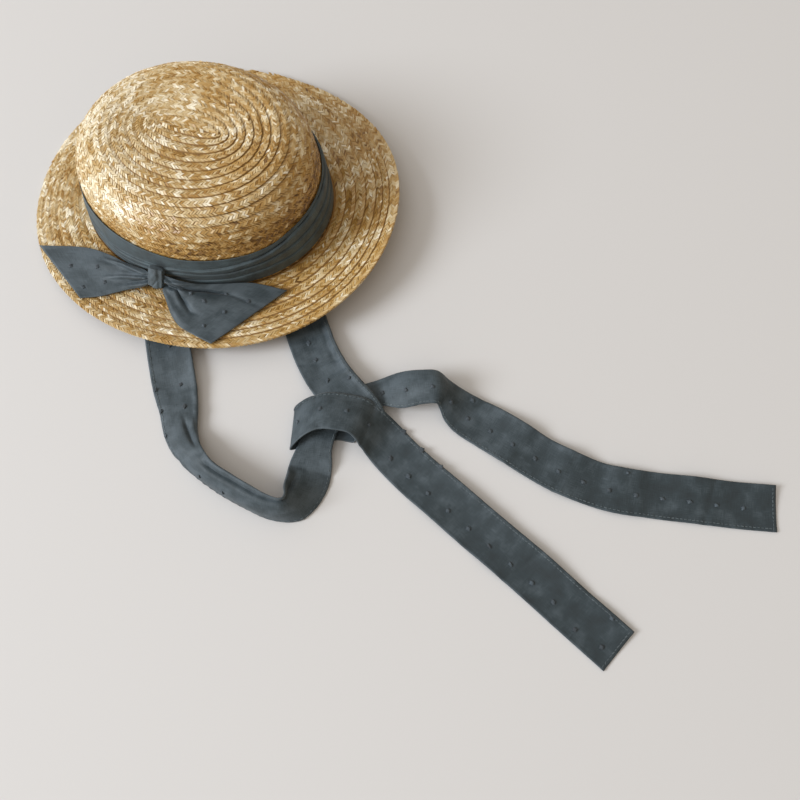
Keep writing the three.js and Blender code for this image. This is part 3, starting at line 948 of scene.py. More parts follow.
# %% The ties, row by row
# Rows: x, y and z in millimetres, angle across, tilt, how far the middle is proud, width.
TIE_LEFT = (
    (-158.5, 28.0, 1.2, -8, 0, 0, 31),
    (-155.5, 14.0, 0.9, 8, 0, 0, 31),
    (-151.5, -7.0, 1.4, 13, 0, 0, 31),
    (-142.5, -43.5, 1.0, 12, 0, 0, 31),
    (-138.0, -61.0, 1.6, 8, 0, 2.5, 27),
    (-134.5, -79.5, 3.0, 6, 10, 4, 23),
    (-127.5, -93.0, 6.5, 24, 32, 4, 21.5),
    (-114.0, -107.0, 9.6, 48, 54, 4, 21.5),
    (-98.5, -117.5, 10.4, 54, 58, 4, 22.5),
    (-84.5, -125.5, 10.8, 62, 60, 4, 23),
    (-72.5, -131.5, 10.8, 76, 62, 3, 23),
    (-63.0, -133.5, 10.8, 100, 62, 2, 23),
    (-56.5, -131.5, 10.0, 136, 50, 1, 24.5),
    (-52.0, -123.0, 7.6, 160, 30, 0.5, 27.5),
    (-48.5, -112.5, 4.6, 168, 14, 0, 28.5),
    (-46.8, -101.0, 3.2, 174, 2, 0, 28),
    (-44.5, -90.0, 5.2, 172, 0, 1, 23),
    (-39.0, -74.0, 5.6, 154, 0, 1, 21),
    (-29.0, -63.0, 5.6, 128, 0, 1, 19),
    (-16.0, -56.0, 5.4, 108, 0, 0.5, 19),
    (-2.0, -51.0, 5.8, 99, 0, 0.5, 19),
    (12.5, -51.0, 10.5, 95, 4, 2, 25),
    (27.0, -50.5, 15.5, 94, 9, 3.5, 23),
    (36.5, -51.0, 16.4, 88, 10, 4, 22),
    (41.5, -53.5, 11.0, 70, 8, 3.5, 20),
    (48.0, -59.5, 5.6, 60, 5, 2, 25),
    (57.0, -66.0, 2.2, 57, 1, 0, 29),
    (71.5, -74.5, 0.9, 57, 0, 0, 31),
    (88.0, -86.0, 2.6, 59, 0, 0, 31),
    (105.0, -97.0, 1.4, 60, 0, 0, 31),
    (119.0, -105.5, 2.6, 63, 0, 0, 31),
    (140.5, -114.0, 0.9, 69, 0, 0, 31),
    (155.0, -118.5, 2.2, 75, 0, 0, 31),
    (181.0, -122.0, 0.9, 81, 0, 0, 31),
    (204.0, -125.0, 1.8, 83, 0, 0, 31),
    (229.0, -128.0, 0.8, 84, 0, 0, 31),
    (256.5, -130.5, 0.8, 84, 0, 0, 31),
)
TIE_RIGHT = (
    (-105.0, 162.0, 1.2, -10, 0, 0, 31),
    (-98.5, 148.0, 0.8, 4, 0, 0, 31),
    (-80.0, 90.0, 0.8, 16, 0, 0, 31),
    (-62.5, 26.0, 1.0, 17, 0, 0, 31),
    (-54.5, 1.5, 3.4, 22, 0, 0, 31),
    (-47.0, -19.0, 2.4, 26, 0, 0, 31),
    (-38.0, -37.0, 4.4, 32, 0, 0, 31),
    (-27.0, -52.5, 8.6, 36, 0, 0, 31),
    (-17.0, -64.0, 9.8, 38, 0, 0, 31),
    (-8.5, -74.0, 6.6, 42, 0, 0, 27),
    (-10.5, -74.0, 1.5, 50, 0, 0, 28),
    (-24.0, -70.5, 0.9, 64, 0, 0, 28),
    (-40.0, -71.5, 0.9, 78, 0, 0, 28),
    (-53.0, -74.0, 1.2, 84, 0, 0, 29),
    (-59.5, -76.5, 5.8, 86, 0, 0, 30),
    (-52.0, -71.0, 11.0, 84, -7, 0, 30),
    (-41.0, -67.0, 13.2, 82, -13, 2, 29),
    (-28.0, -68.0, 14.6, 76, -12, 2, 29),
    (-15.5, -71.0, 14.4, 66, -10, 1.5, 29),
    (-6.5, -77.5, 8.6, 57, -6, 0, 30),
    (0.5, -84.0, 2.2, 51, 0, 0, 31),
    (9.5, -94.0, 0.9, 48, 0, 0, 31),
    (22.0, -107.0, 1.2, 48, 0, 0, 31),
    (42.0, -125.5, 2.4, 48, 0, 0, 31),
    (61.0, -142.5, 0.9, 47, 0, 0, 31),
    (79.0, -158.5, 2.2, 47, 0, 0, 31),
    (96.5, -174.0, 0.8, 48, 0, 0, 31),
    (119.0, -195.0, 0.6, 48, 0, 0, 31),
    (132.5, -207.5, 0.6, 48, 0, 0, 31),
    (146.0, -220.0, 0.6, 48, 0, 0, 31),
)
print("rows:", len(TIE_LEFT), "for the left tie and", len(TIE_RIGHT), "for the right one")

# %% [markdown]
# A hemmed ribbon doesn't lie down along both of its sides. In many places its right edge stands
# off the surface by a few millimetres, and there it throws a thin shadow. The lifts are listed
# row by row, in the same order as the tables, and joined to them as one more column.

# %% Lifted edges
# How far the right edge lifts off the surface under it, in millimetres.
LEFT_LIFTS = (
    *(0, 1.6, 4.8, 5.4, 3.2, 1.0),
    *[0] * 19,
    *(0.6, 2.0, 3.2, 4.2, 2.2, 3.8, 1.6, 3.2, 1.6, 3.0, 1.8, 2.4),
)
RIGHT_LIFTS = (
    *(0, 0, 0.3, 1.0, 4.0, 5.0, 4.2, 2.2, 0.8),
    *[0] * 12,
    *(1.0, 2.4, 3.2, 4.0, 2.4, 3.8, 1.8, 2.2, 1.6),
)
LIFT_FROM, LIFT_CURVE = 0.35, 1.6


def with_lifts(sewn, laid, lifts):
    return [(*row, lift) for row, lift in zip((*sewn, *laid), (*[0] * len(sewn), *lifts))]


LEFT_ROWS = with_lifts(sewn_rows(-97, 1.4), TIE_LEFT, LEFT_LIFTS)
RIGHT_ROWS = with_lifts(sewn_rows(92, -1.4), TIE_RIGHT, RIGHT_LIFTS)
print("highest lifts:", max(LEFT_LIFTS), "mm and", max(RIGHT_LIFTS), "mm")

# %% [markdown]
# The form of a tie is a function, like that of the crown: it gives the place in space for any
# place on the flat cloth. The rows are uneven steps apart, so the curve is measured first, and a
# share of the ribbon's length is looked up on it. Otherwise the weave would stretch and shrink.


# %% The form of a tie
def tie_form(rows):
    """The form of a tie, and its length in metres: u runs along it and v across, both 0 to 1."""
    rows = np.asarray(rows, float)
    marks = np.linspace(0, 1, 201)
    run = run_along(smooth_rows(rows[:, :3], marks, True))

    def surface(u, v):
        t = np.interp(u * run[-1], run, marks)
        before, after = (smooth_rows(rows[:, :3], t + step, True) for step in (-NEARBY, NEARBY))
        across, tilt, proud, width, lift = smooth_rows(rows[:, 3:], t, False).T
        across, tilt = np.radians(across), np.radians(tilt)
        level = np.cos(tilt)
        side = np.stack([level * np.cos(across), level * np.sin(across), np.sin(tilt)], -1)
        place = smooth_rows(rows[:, :3], t, True) + side * (width * (v - 0.5))[:, None]
        place += unit(np.cross(unit(after - before), side)) * (proud * 4 * v * (1 - v))[:, None]
        raised = lift * np.clip((v - LIFT_FROM) / (1 - LIFT_FROM), 0, 1) ** LIFT_CURVE
        place[:, 2] = np.maximum(place[:, 2], CLOTH / 2) + raised
        return place * MM

    return surface, run[-1] * MM


left_tie, LEFT_RUN = tie_form(LEFT_ROWS)
right_tie, RIGHT_RUN = tie_form(RIGHT_ROWS)
print("ties:", round(LEFT_RUN, 3), "m and", round(RIGHT_RUN, 3), "m long")

# %% [markdown]
# Real ribbon never lies dead flat, so every cloth has a form and a relief. The relief is a small
# move along the cloth's own normal, never so far down that the cloth would pass through the
# surface under it. One helper makes the sheet from a grid, and a solidify modifier gives it a
# cloth's thickness. The points carry the number that the cotton's colour reads: 1 at the rim, for
# a painted highlight, and below 0 towards the free end of a tie, for painted shade.

# %% A sheet of cloth from a grid
SHEET_WALL = 0.9 * MM
LOWEST = 0.5 * MM
STEP_ON_CLOTH = 2e-3
# How much painted shade darkens the free end of a tie, and over which share of its length.
TIE_END_SHADE = 1.2
SHADE_FROM, SHADE_OVER = 0.6, 0.3


def cloth_places(form, relief, u, v):
    """Places on a cloth with its relief, and the directions along it and out of it."""
    step = STEP_ON_CLOTH
    along = form(np.minimum(u + step, 1), v) - form(np.maximum(u - step, 0), v)
    across = form(u, np.minimum(v + step, 1)) - form(u, np.maximum(v - step, 0))
    out = unit(np.cross(along, across))
    place = form(u, v) + out * relief(u, v)[:, None]
    place[:, 2] = np.maximum(place[:, 2], LOWEST)
    return place, unit(along), out


def cloth_sheet(name, form, relief, size, cells, material, thickness=SHEET_WALL, end_shade=0.0):
    """A sheet: size is how wide and long its flat cloth is, and cells are along and across it."""
    mesh, u, v = grid_mesh(name, *cells)
    u, v = np.clip(u.astype(float), 0, 1), np.clip(v.astype(float), 0, 1)
    place, _, _ = cloth_places(form, relief, u, v)
    move_points(mesh, place)
    layer = mesh.uv_layers.new(name="cloth")
    corners = np.zeros(len(mesh.loops), np.int32)
    mesh.loops.foreach_get("vertex_index", corners)
    on_cloth = np.column_stack([v * size[0], u * size[1]])
    layer.data.foreach_set("uv", on_cloth[corners].astype(np.float32).ravel())
    # Painted highlight along the rim, and painted shade towards the free end of a tie.
    highlit_rim = (v < 0.01) | (v > 0.99) | (u < 0.001) | (u > 0.999)
    shaded = end_shade * np.clip((u - SHADE_FROM) / SHADE_OVER, 0, 1)
    edge = mesh.attributes.new("edge", "FLOAT", "POINT")
    edge.data.foreach_set("value", (highlit_rim - shaded).astype(np.float32))
    mesh.materials.append(material)
    mesh.shade_smooth()
    mesh.update()
    piece = linked(name, mesh)
    give_wall(piece, thickness)
    print(name, len(mesh.polygons), "cells")
    return piece


# %% [markdown]
# A tie puckers along its seam, its hems are thicker than its middle, and slow waves run through
# it that are stronger at the edges. Folds run along it and dents run across it. Each of these is
# a bump with the shape of a bell, added to the others. The start stays smooth, since there the
# ribbon is held flat inside the crown.

# %% The relief of a tie
PUCKER, PUCKER_STEP, PUCKER_AT = 0.16, 5.2 * MM, 1.6 * MM
HEM, HEM_AT, HEM_WIDE = 0.22, 0.8 * MM, 0.9 * MM
WAVE, WAVE_LENGTH = 0.55, 22 * MM
QUIET_MIDDLE = 0.35
HELD_UNTIL, FREE_AFTER = 0.04, 0.02
FOLD_FADE = 8


def bell(x, middle, width):
    return np.exp(-(((x - middle) / width) ** 2))


def wavy(u, v, run, seed):
    """Slow unevenness of a ribbon: run is its length, and the result is about -1 to 1."""
    shift = Vector((seed * 3.7, seed * 5.1, 0.0))
    places = (Vector((a * run / WAVE_LENGTH, b * 1.1, 0)) for a, b in zip(u, v))
    return np.array([noise.noise(place + shift) for place in places])


def tie_relief(run, seam_side, seed, folds, dents):
    """Folds run along the tie and dents across it, at places in millimetres from its start."""

    def relief(u, v):
        edge = 2 * np.abs(v - 0.5)
        stronger = QUIET_MIDDLE + (1 - QUIET_MIDDLE) * edge
        seam = np.abs(v - seam_side) * RIBBON * MM
        hem = (1 - edge) * RIBBON * MM / 2
        pucker = np.sin(2 * math.pi * u * run / PUCKER_STEP + 4 * wavy(u, v * 0, run, seed + 2))
        height = WAVE * wavy(u, v, run, seed) * stronger
        height = height + PUCKER * pucker * bell(seam, PUCKER_AT, PUCKER_AT)
        height = height + HEM * bell(hem, HEM_AT, HEM_WIDE)
        at = u * run / MM
        for tall, wide, line in folds:
            along, across = np.array(line).T
            begins = np.clip((at - along[0]) / FOLD_FADE, 0, 1)
            ends = np.clip((along[-1] - at) / FOLD_FADE, 0, 1)
            height = height + tall * begins * ends * bell(v, np.interp(at, along, across), wide)
        for tall, start, end, wide in dents:
            height = height + tall * bell(at, start + (end - start) * v, wide) * stronger
        return height * np.clip((u * run - HELD_UNTIL) / FREE_AFTER, 0, 1) * MM

    return relief


print("waves are", WAVE_LENGTH, "m long")

# %% [markdown]
# Long creases run where the ribbon has been folded or bends round, and short dents where it was
# pressed. They are placed one by one, since their places make this ribbon look like itself.

# %% Creases and dents of the ties
# Folds: height in mm, width as a share of the ribbon's, then places (along in mm, across as a
# share). Dents: height, place at one edge and at the other, and width, all in mm.
LEFT_CREASES = (
    (-2.6, 0.07, ((184, 0.78), (215, 0.84), (250, 0.86), (284, 0.8))),
    (1.1, 0.06, ((184, 0.95), (250, 0.97), (284, 0.95))),
    (-1.9, 0.07, ((142, 0.62), (158, 0.78), (174, 0.88))),
    (1.2, 0.06, ((142, 0.84), (160, 0.93), (174, 0.98))),
    (0.8, 0.05, ((100, 0.93), (150, 0.94))),
)
LEFT_DENTS = (
    (-0.6, 116, 125, 2.5),
    (0.6, 131, 140, 3.0),
    (-0.7, 172, 180, 2.0),
    (-1.0, 283, 287, 1.6),
    (0.6, 292, 296, 3.0),
    (-0.7, 428, 438, 2.2),
    (0.6, 470, 476, 3.0),
    (-0.7, 505, 512, 2.0),
    (0.6, 560, 556, 3.0),
    (-0.6, 600, 608, 2.0),
)
RIGHT_CREASES = ((0.9, 0.05, ((215, 0.94), (300, 0.94))), (-0.8, 0.06, ((215, 0.84), (262, 0.8))))
RIGHT_DENTS = (
    (-0.6, 226, 231, 2.5),
    (-0.9, 243, 256, 1.8),
    (0.7, 262, 268, 2.0),
    (-0.6, 392, 384, 2.5),
    (-0.9, 429, 421, 2.0),
    (0.6, 440, 446, 3.0),
    (-0.6, 478, 487, 2.0),
    (0.6, 520, 528, 3.0),
    (-0.6, 559, 566, 2.2),
    (-0.5, 600, 606, 2.0),
)
LEFT_SEAM, RIGHT_SEAM = 0, 1
left_relief = tie_relief(LEFT_RUN, LEFT_SEAM, 3, LEFT_CREASES, LEFT_DENTS)
right_relief = tie_relief(RIGHT_RUN, RIGHT_SEAM, 5, RIGHT_CREASES, RIGHT_DENTS)
print("dents:", len(LEFT_DENTS), "on the left tie and", len(RIGHT_DENTS), "on the right one")

# %% [markdown]
# With a form, a relief and a material, the sheets themselves take one call each. The cells are a
# little over a millimetre long, which is fine enough for the puckers along the seam.

# %% The two ties
TIE_CELLS = (540, 30)
WIDE = RIBBON * MM
LEFT_FLAT, RIGHT_FLAT = (WIDE, LEFT_RUN), (WIDE, RIGHT_RUN)
ON_LEFT, ON_RIGHT = (left_tie, left_relief), (right_tie, right_relief)


def ribbon_sheet(name, form, relief, flat, cells, node, end_shade=0.0):
    """A sheet of the ribbon's cotton that takes the place of a node."""
    piece = cloth_sheet(name, form, relief, flat, cells, RIBBON_COTTON, end_shade=end_shade)
    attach(piece, "root")
    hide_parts(node)
    return piece


# Both ties get painted shade towards their free ends.
tie_left = ribbon_sheet(
    "tie_left_ribbon", *ON_LEFT, LEFT_FLAT, TIE_CELLS, "tie_left", TIE_END_SHADE
)
tie_right = ribbon_sheet(
    "tie_right_ribbon", *ON_RIGHT, RIGHT_FLAT, TIE_CELLS, "tie_right", TIE_END_SHADE
)

# %% [markdown]
# The bow is a short ribbon pinched in its middle, and its two tails fan out over the brim with
# cut, slanted ends. Each tail is a sheet between a high edge and a low edge, given by a few rows.

# %% The tails of the bow
# Rows: the high edge's x, y, z and then the low edge's x, y, z, in millimetres.
TAIL_LEFT = (
    (-161.3, 29.4, 29.0, -161.5, 25.6, 20.0),
    (-170.2, 35.2, 25.5, -169.5, 25.0, 16.4),
    (-180.0, 41.4, 21.0, -177.2, 24.3, 14.8),
    (-194.3, 50.5, 17.0, -187.4, 21.9, 14.0),
    (-212.1, 58.3, 13.4, -197.8, 19.5, 13.4),
    (-250.0, 64.1, 7.6, -212.5, 18.2, 12.8),
)
TAIL_RIGHT = (
    (-149.9, 26.4, 30.0, -150.9, 23.0, 20.0),
    (-139.6, 23.6, 27.5, -149.5, 14.0, 17.2),
    (-129.0, 22.6, 24.6, -146.2, 4.4, 16.0),
    (-111.7, 24.4, 21.8, -139.4, -5.6, 15.8),
    (-90.9, 26.8, 18.6, -129.8, -11.9, 16.2),
    (-67.1, 22.4, 16.0, -116.7, -19.4, 17.2),
)
TAIL_LIFT = 1.6


def tail_form(rows):
    """The form of a tail: u runs from the knot to its end, v from its low edge to its high one."""
    rows = np.asarray(rows, float)

    def surface(u, v):
        high = smooth_rows(rows[:, :3], u, True)
        low = smooth_rows(rows[:, 3:], u, True)
        place = low + (high - low) * v[:, None]
        place[:, 2] += TAIL_LIFT * np.sin(math.pi * v) * np.sin(math.pi * u)
        return place * MM

    return surface


left_tail, right_tail = tail_form(TAIL_LEFT), tail_form(TAIL_RIGHT)
print("the tails swell by", TAIL_LIFT, "mm")

# %% [markdown]
# The gathers start in the knot and fade towards the end. So each is a ridge or a valley along a
# line from the knot, and it grows narrower and lower with the distance. Two deep valleys with a
# ridge between them read as a fold, where a single one would read as a groove.

# %% The gathers of the tails
TAIL_WAVE = 0.45
TAIL_WAVE_RUN = 0.07
FADE_PAST, FADE_OVER = 0.15, 0.3
WIDE_AT_KNOT, NARROWING = 1.3, 0.6


def tail_relief(folds, seed):
    """Each fold: its height, its width and the places (u, v) that it runs through."""

    def relief(u, v):
        height = TAIL_WAVE * wavy(u, v * 2, TAIL_WAVE_RUN, seed)
        for tall, wide, line in folds:
            along, across = np.array(line).T
            middle = np.interp(u, along, across)
            fade = np.clip((along[-1] + FADE_PAST - u) / FADE_OVER, 0, 1)
            fade = fade * np.clip(u / 0.05, 0.3, 1)
            height = height + tall * fade * bell(v, middle, wide * (WIDE_AT_KNOT - NARROWING * u))
        return height * MM

    return relief


LEFT_FOLDS = (
    (-3.0, 0.05, ((0, 0.94), (0.18, 0.88), (0.42, 0.85), (0.55, 0.82))),
    (1.8, 0.08, ((0, 0.78), (0.2, 0.7), (0.5, 0.66))),
    (-2.6, 0.04, ((0, 0.58), (0.18, 0.49), (0.37, 0.43), (0.6, 0.37))),
    (1.6, 0.09, ((0, 0.32), (0.2, 0.27), (0.5, 0.22))),
    (1.2, 0.04, ((0, 0.99), (0.4, 0.98))),
    (-1.4, 0.05, ((0, 0.14), (0.35, 0.1))),
    (-1.0, 0.1, ((0.4, 0.7), (0.6, 0.68), (0.75, 0.66))),
)
RIGHT_FOLDS = (
    (3.6, 0.07, ((0, 0.7), (0.1, 0.75), (0.26, 0.9), (0.36, 0.96))),
    (-3.8, 0.035, ((0, 0.34), (0.1, 0.52), (0.31, 0.73), (0.54, 0.81), (0.64, 0.78))),
    (-1.2, 0.04, ((0.5, 0.8), (0.7, 0.76), (0.86, 0.7), (0.95, 0.68))),
    (1.4, 0.1, ((0, 0.3), (0.3, 0.62), (0.6, 0.6), (0.8, 0.56))),
    (-3.6, 0.055, ((0, 0.25), (0.24, 0.58), (0.35, 0.47), (0.51, 0.35), (0.56, 0.31))),
    (2.2, 0.1, ((0, 0.1), (0.3, 0.12), (0.6, 0.08))),
)
left_tail_relief, right_tail_relief = tail_relief(LEFT_FOLDS, 7), tail_relief(RIGHT_FOLDS, 9)
print("gathers:", len(LEFT_FOLDS), "on the left tail and", len(RIGHT_FOLDS), "on the right one")

# %% [markdown]
# Both tails are of the same cotton as the ties, so the same helper makes them. Their flat sizes
# are those of the strip before it is gathered into the knot.

# %% The two tails
TAIL_CELLS = (72, 64)
LEFT_TAIL_FLAT, RIGHT_TAIL_FLAT = (0.05, 0.075), (0.05, 0.08)
ON_LEFT_TAIL, ON_RIGHT_TAIL = (left_tail, left_tail_relief), (right_tail, right_tail_relief)

tail_left = ribbon_sheet("bow_left", *ON_LEFT_TAIL, LEFT_TAIL_FLAT, TAIL_CELLS, "bow_tail_left")
tail_right = ribbon_sheet("bow_right", *ON_RIGHT_TAIL, RIGHT_TAIL_FLAT, TAIL_CELLS, "bow_tail_right")

# %% [markdown]
# The band is a wider strip of the same cotton, laid round the foot of the crown in lengthwise
# pleats. Its upper half is one smooth pleat, and the lower half is folded up three times.
# The folds aren't parallel: they wander, and they run together where the knot pulls on them. So
# a table gives the height of each fold all round the hat.

# %% The folds of the band
BAND_FOOT, BAND_TOP = 3.5 * MM, 33.5 * MM
BAND_STAND = 0.75 * MM
BAND_SEAM = -200
KNOT_TURN = -93.6
# Columns: turn in degrees, then where top edge, three folds and foot lie, from 0 to 1, and how
# fat the pleats are.
BAND_FOLDS = (
    (-200, -0.02, 0.40, 0.62, 0.82, 1.0, 0.8),
    (-170, -0.06, 0.45, 0.66, 0.84, 1.0, 0.3),
    (-140, -0.10, 0.50, 0.68, 0.86, 1.0, 0.15),
    (-126, -0.12, 0.53, 0.70, 0.86, 1.0, 0.5),
    (-116, -0.11, 0.55, 0.72, 0.88, 1.0, 0.8),
    (-108, -0.10, 0.46, 0.66, 0.84, 1.0, 1.0),
    (-100, -0.07, 0.44, 0.62, 0.80, 1.0, 1.0),
    (-92, -0.04, 0.44, 0.58, 0.76, 1.0, 1.0),
    (-86, 0.0, 0.35, 0.50, 0.72, 1.0, 1.0),
    (-77, 0.0, 0.34, 0.47, 0.72, 0.99, 1.0),
    (-68, 0.0, 0.31, 0.48, 0.70, 0.98, 1.0),
    (-60, 0.01, 0.26, 0.46, 0.69, 0.97, 1.0),
    (-51, 0.02, 0.24, 0.43, 0.67, 0.96, 1.0),
    (-41, 0.02, 0.17, 0.40, 0.65, 0.96, 1.0),
    (-34, -0.02, 0.10, 0.37, 0.66, 0.95, 1.0),
    (-28, -0.07, 0.03, 0.35, 0.66, 0.95, 1.0),
    (-12, -0.10, 0.0, 0.35, 0.64, 0.95, 0.9),
    (3, -0.11, -0.01, 0.35, 0.63, 0.95, 0.8),
    (25, -0.08, 0.04, 0.36, 0.64, 0.95, 0.7),
    (60, -0.04, 0.16, 0.44, 0.7, 0.95, 0.8),
    (110, -0.02, 0.3, 0.55, 0.76, 1.0, 0.9),
    (160, -0.02, 0.40, 0.62, 0.82, 1.0, 0.8),
)
PLEATS = 4
SWAY = ((0.010, 9, 0), (0.006, 23, 1))


def band_degrees(u):
    """The turn round the hat, in degrees: the seam lies at the back."""
    return u * 360 + BAND_SEAM


def fold_heights(degrees):
    """Where the pleats end, from 0 at the band's top to 1 at its foot, and how fat they are."""
    table = np.array(BAND_FOLDS)
    heights = np.array([np.interp(degrees, table[:, 0], table[:, 1 + i]) for i in range(PLEATS + 1)])
    for much, waves, shift in SWAY:
        heights[1:PLEATS] += much * np.sin(np.radians(degrees) * waves + shift)
    return heights, np.interp(degrees, table[:, 0], table[:, PLEATS + 2])


print("the band has", PLEATS, "pleats, told at", len(BAND_FOLDS), "places round the hat")

# %% [markdown]
# Each pleat opens upwards: its upper edge stands proud and is drawn up a little over the pleat
# above, like a shallow pocket, and its lower end goes in behind the next one. That edge catches
# the light and throws the dark line which makes a pleat look like one. The knot draws the whole
# band in a little on both of its sides.

# %% The band
PLEAT_OUT = (1.0 * MM, 2.4 * MM, 2.1 * MM, 1.7 * MM)
PLEAT_RISE = 0.7 * MM
# One pleat from its upper edge, 0, to where it goes in behind the next, 1: how far it stands
# out, and how far its edge is drawn up.
PLEAT_PLACES = (0.0, 0.05, 0.11, 0.2, 0.5, 0.85, 0.94, 1.0)
PLEAT_SWELL = (0.0, 0.55, 0.95, 1.0, 0.82, 0.5, 0.25, 0.0)
PLEAT_DRAW = (0.0, 0.5, 1.0, 0.6, 0.0, 0.0, 0.0, 0.0)
FULL_PLEAT = 0.2
TOP_SWELL, TOP_GROWS, FOOT_SWELL = 0.5, 0.4, 0.45
BAND_WAVE, BAND_WAVE_RUN = 0.14, 0.54
KNOT_DIP, KNOT_DIP_WIDE, KNOT_DIP_HIGH = 0.5, 10, 0.3
BAND_WALL = 0.5 * MM
BAND_FLAT = (0.042, 0.545)
BAND_CELLS = (400, 72)


def band_form(u, v):
    """u runs round the hat once, and v runs through the four pleats, a quarter for each."""
    degrees = band_degrees(u)
    heights, fat = fold_heights(degrees)
    pleat = np.minimum((v * PLEATS).astype(int), PLEATS - 1)
    share = v * PLEATS - pleat
    each = np.arange(len(v))
    upper, lower = heights[pleat, each], heights[pleat + 1, each]
    swell = np.interp(share, PLEAT_PLACES, PLEAT_SWELL)
    smooth_top, foot = (pleat == 0) & (share < 0.5), (pleat == PLEATS - 1) & (share > 0.5)
    swell = np.where(smooth_top, TOP_SWELL + TOP_GROWS * share, swell)
    swell = np.where(foot, np.maximum(swell, FOOT_SWELL), swell)
    space = np.clip((lower - upper) / FULL_PLEAT, 0, 1)
    out = BAND_STAND + np.array(PLEAT_OUT)[pleat] * swell * fat * (0.5 + 0.5 * space)
    drawn = PLEAT_RISE * np.interp(share, PLEAT_PLACES, PLEAT_DRAW) * space * (pleat > 0) * fat
    rise = BAND_TOP + (BAND_FOOT - BAND_TOP) * (upper + (lower - upper) * share) + drawn
    a, b = crown_axes(rise)
    turn = np.radians(degrees)
    x = (a + out) * np.cos(turn) + CROWN_FROM_BRIM[0]
    y = (b + out) * np.sin(turn) + CROWN_FROM_BRIM[1]
    return in_row(x, y, CROWN_FOOT + rise)


def band_relief(u, v):
    """Slight waves, and the dip where the knot pulls the band in."""
    dip = bell(band_degrees(u), KNOT_TURN, KNOT_DIP_WIDE) * bell(v, 0.5, KNOT_DIP_HIGH)
    return (BAND_WAVE * wavy(u, v * 3, BAND_WAVE_RUN, 15) - KNOT_DIP * dip) * MM


band = cloth_sheet(
    "band_pleated", band_form, band_relief, BAND_FLAT, BAND_CELLS, BAND_COTTON, BAND_WALL
)
close_seam(band.data, SLIVER)
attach(band, "root")
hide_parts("band")

# %% [markdown]
# The knot is a short length of ribbon wrapped tight round the middle of the bow. A flat strap
# runs over its face, crossed by one slanting crease where the wrap overlaps itself. Beside the
# strap the cloth is gathered and drawn in to a waist. It starts as a cube, cut fine and pushed
# outwards, since a cube keeps its points even where a ball would crowd them at its poles.

# %% The knot's shape
KNOT_SIZE = (11.0 * MM, 5.0 * MM, 15.0 * MM)
KNOT_CUTS = 18
KNOT_ROUND, KNOT_BALL = 0.3, 1.25
STRAP_EDGE, STRAP_SHARP, STRAP_OUT = 0.5, 20, 0.45
STRAP_LEAN, STRAP_SHIFT = 0.15, 0.08
SLANT = 1.1
VALLEY, VALLEY_AT, VALLEY_WIDE = -0.4, -0.55, 0.1
RIDGE, RIDGE_AT, RIDGE_WIDE = 0.12, 0.35, 0.2
GATHER_DEPTH, GATHERS_UP, GATHERS_ALONG = 0.07, 9, 2.5
WAIST = 0.22

bm = bmesh.new()
bmesh.ops.create_cube(bm, size=2.0)
bmesh.ops.subdivide_edges(bm, edges=bm.edges, cuts=KNOT_CUTS, use_grid_fill=True)
for v in bm.verts:
    p = v.co.copy()
    p = p.lerp(p.normalized() * KNOT_BALL, KNOT_ROUND)
    front = max(0.0, -p.y)
    from_strap = abs(p.x + STRAP_LEAN * p.z + STRAP_SHIFT) - STRAP_EDGE
    strap = 1 / (1 + math.exp(STRAP_SHARP * from_strap))
    slant = p.z - SLANT * p.x
    valley = VALLEY * bell(slant, VALLEY_AT, VALLEY_WIDE)
    ridge = RIDGE * bell(slant, RIDGE_AT, RIDGE_WIDE)
    gathers = GATHER_DEPTH * math.sin(GATHERS_UP * p.z + GATHERS_ALONG * p.x) * (1 - strap)
    waist = 1 - WAIST * math.cos(math.pi * p.z / 2) * (1 - strap)
    outwards = (STRAP_OUT + valley + ridge) * strap + gathers
    v.co.x = p.x * KNOT_SIZE[0] / 2
    v.co.y = (p.y - front * outwards) * KNOT_SIZE[1] / 2
    v.co.z = p.z * waist * KNOT_SIZE[2] / 2
print("the knot is", KNOT_SIZE[0], "m wide and has", len(bm.verts), "points")

# %% [markdown]
# The map of its cloth is laid on while the knot still stands upright, where left, right and up
# are easy to tell. Only then is it turned towards the viewer, leaned back over the band and set
# in its place.

# %% The knot in its place
KNOT_LEAN = math.radians(-32)
KNOT_AT = Vector((-156.0, 27.0, 27.2)) * MM
KNOT_FACES = math.radians(KNOT_TURN + 90 + TURNED)

cloth_map = bm.loops.layers.uv.new("cloth")
for face in bm.faces:
    for corner in face.loops:
        corner[cloth_map].uv = (corner.vert.co.x + corner.vert.co.y, corner.vert.co.z)
turn_to_viewer = Matrix.Rotation(KNOT_FACES, 4, "Z") @ Matrix.Rotation(KNOT_LEAN, 4, "X")
bmesh.ops.transform(bm, matrix=Matrix.Translation(KNOT_AT) @ turn_to_viewer, verts=bm.verts)
bmesh.ops.recalc_face_normals(bm, faces=bm.faces)
knot_mesh = bpy.data.meshes.new("bow_wrap")
bm.to_mesh(knot_mesh)
bm.free()
knot_mesh.materials.append(KNOT_COTTON)
knot_mesh.shade_smooth()
knot = linked("bow_wrap", knot_mesh)
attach(knot, "root")
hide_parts("bow_knot")
print("knot:", len(knot_mesh.polygons), "faces")

# %% [markdown]
# Here and there the weaver has left a tuft: a soft little blob of thick yarn, a bit raised. It is
# a squashed ball, pushed in and out at random. The hem of each tie is sewn with a thread that
# shows as short raised stitches, and for those the straw's leaf will do. Both are set down on
# the cloth with the same helper as the leaves.

# %% Small shapes on the cloth
TUFT_SIZE = (2.8 * MM, 3.6 * MM, 1.7 * MM)
STITCH_SIZE = (0.55 * MM, 1.8 * MM, 0.5 * MM)
TUFT_ROUGH = 0.7
TURN_SPREAD, SHAPE_SPREAD = 8, 0.12
SUNK_IN = 0.1


def tuft_shape():
    bm = bmesh.new()
    bmesh.ops.create_icosphere(bm, subdivisions=2, radius=0.5)
    for v in bm.verts:
        v.co *= 1 + TUFT_ROUGH * noise.noise(v.co * 4.0 + Vector((3.0, 1.0, 2.0)))
    return points_and_corners(bm)


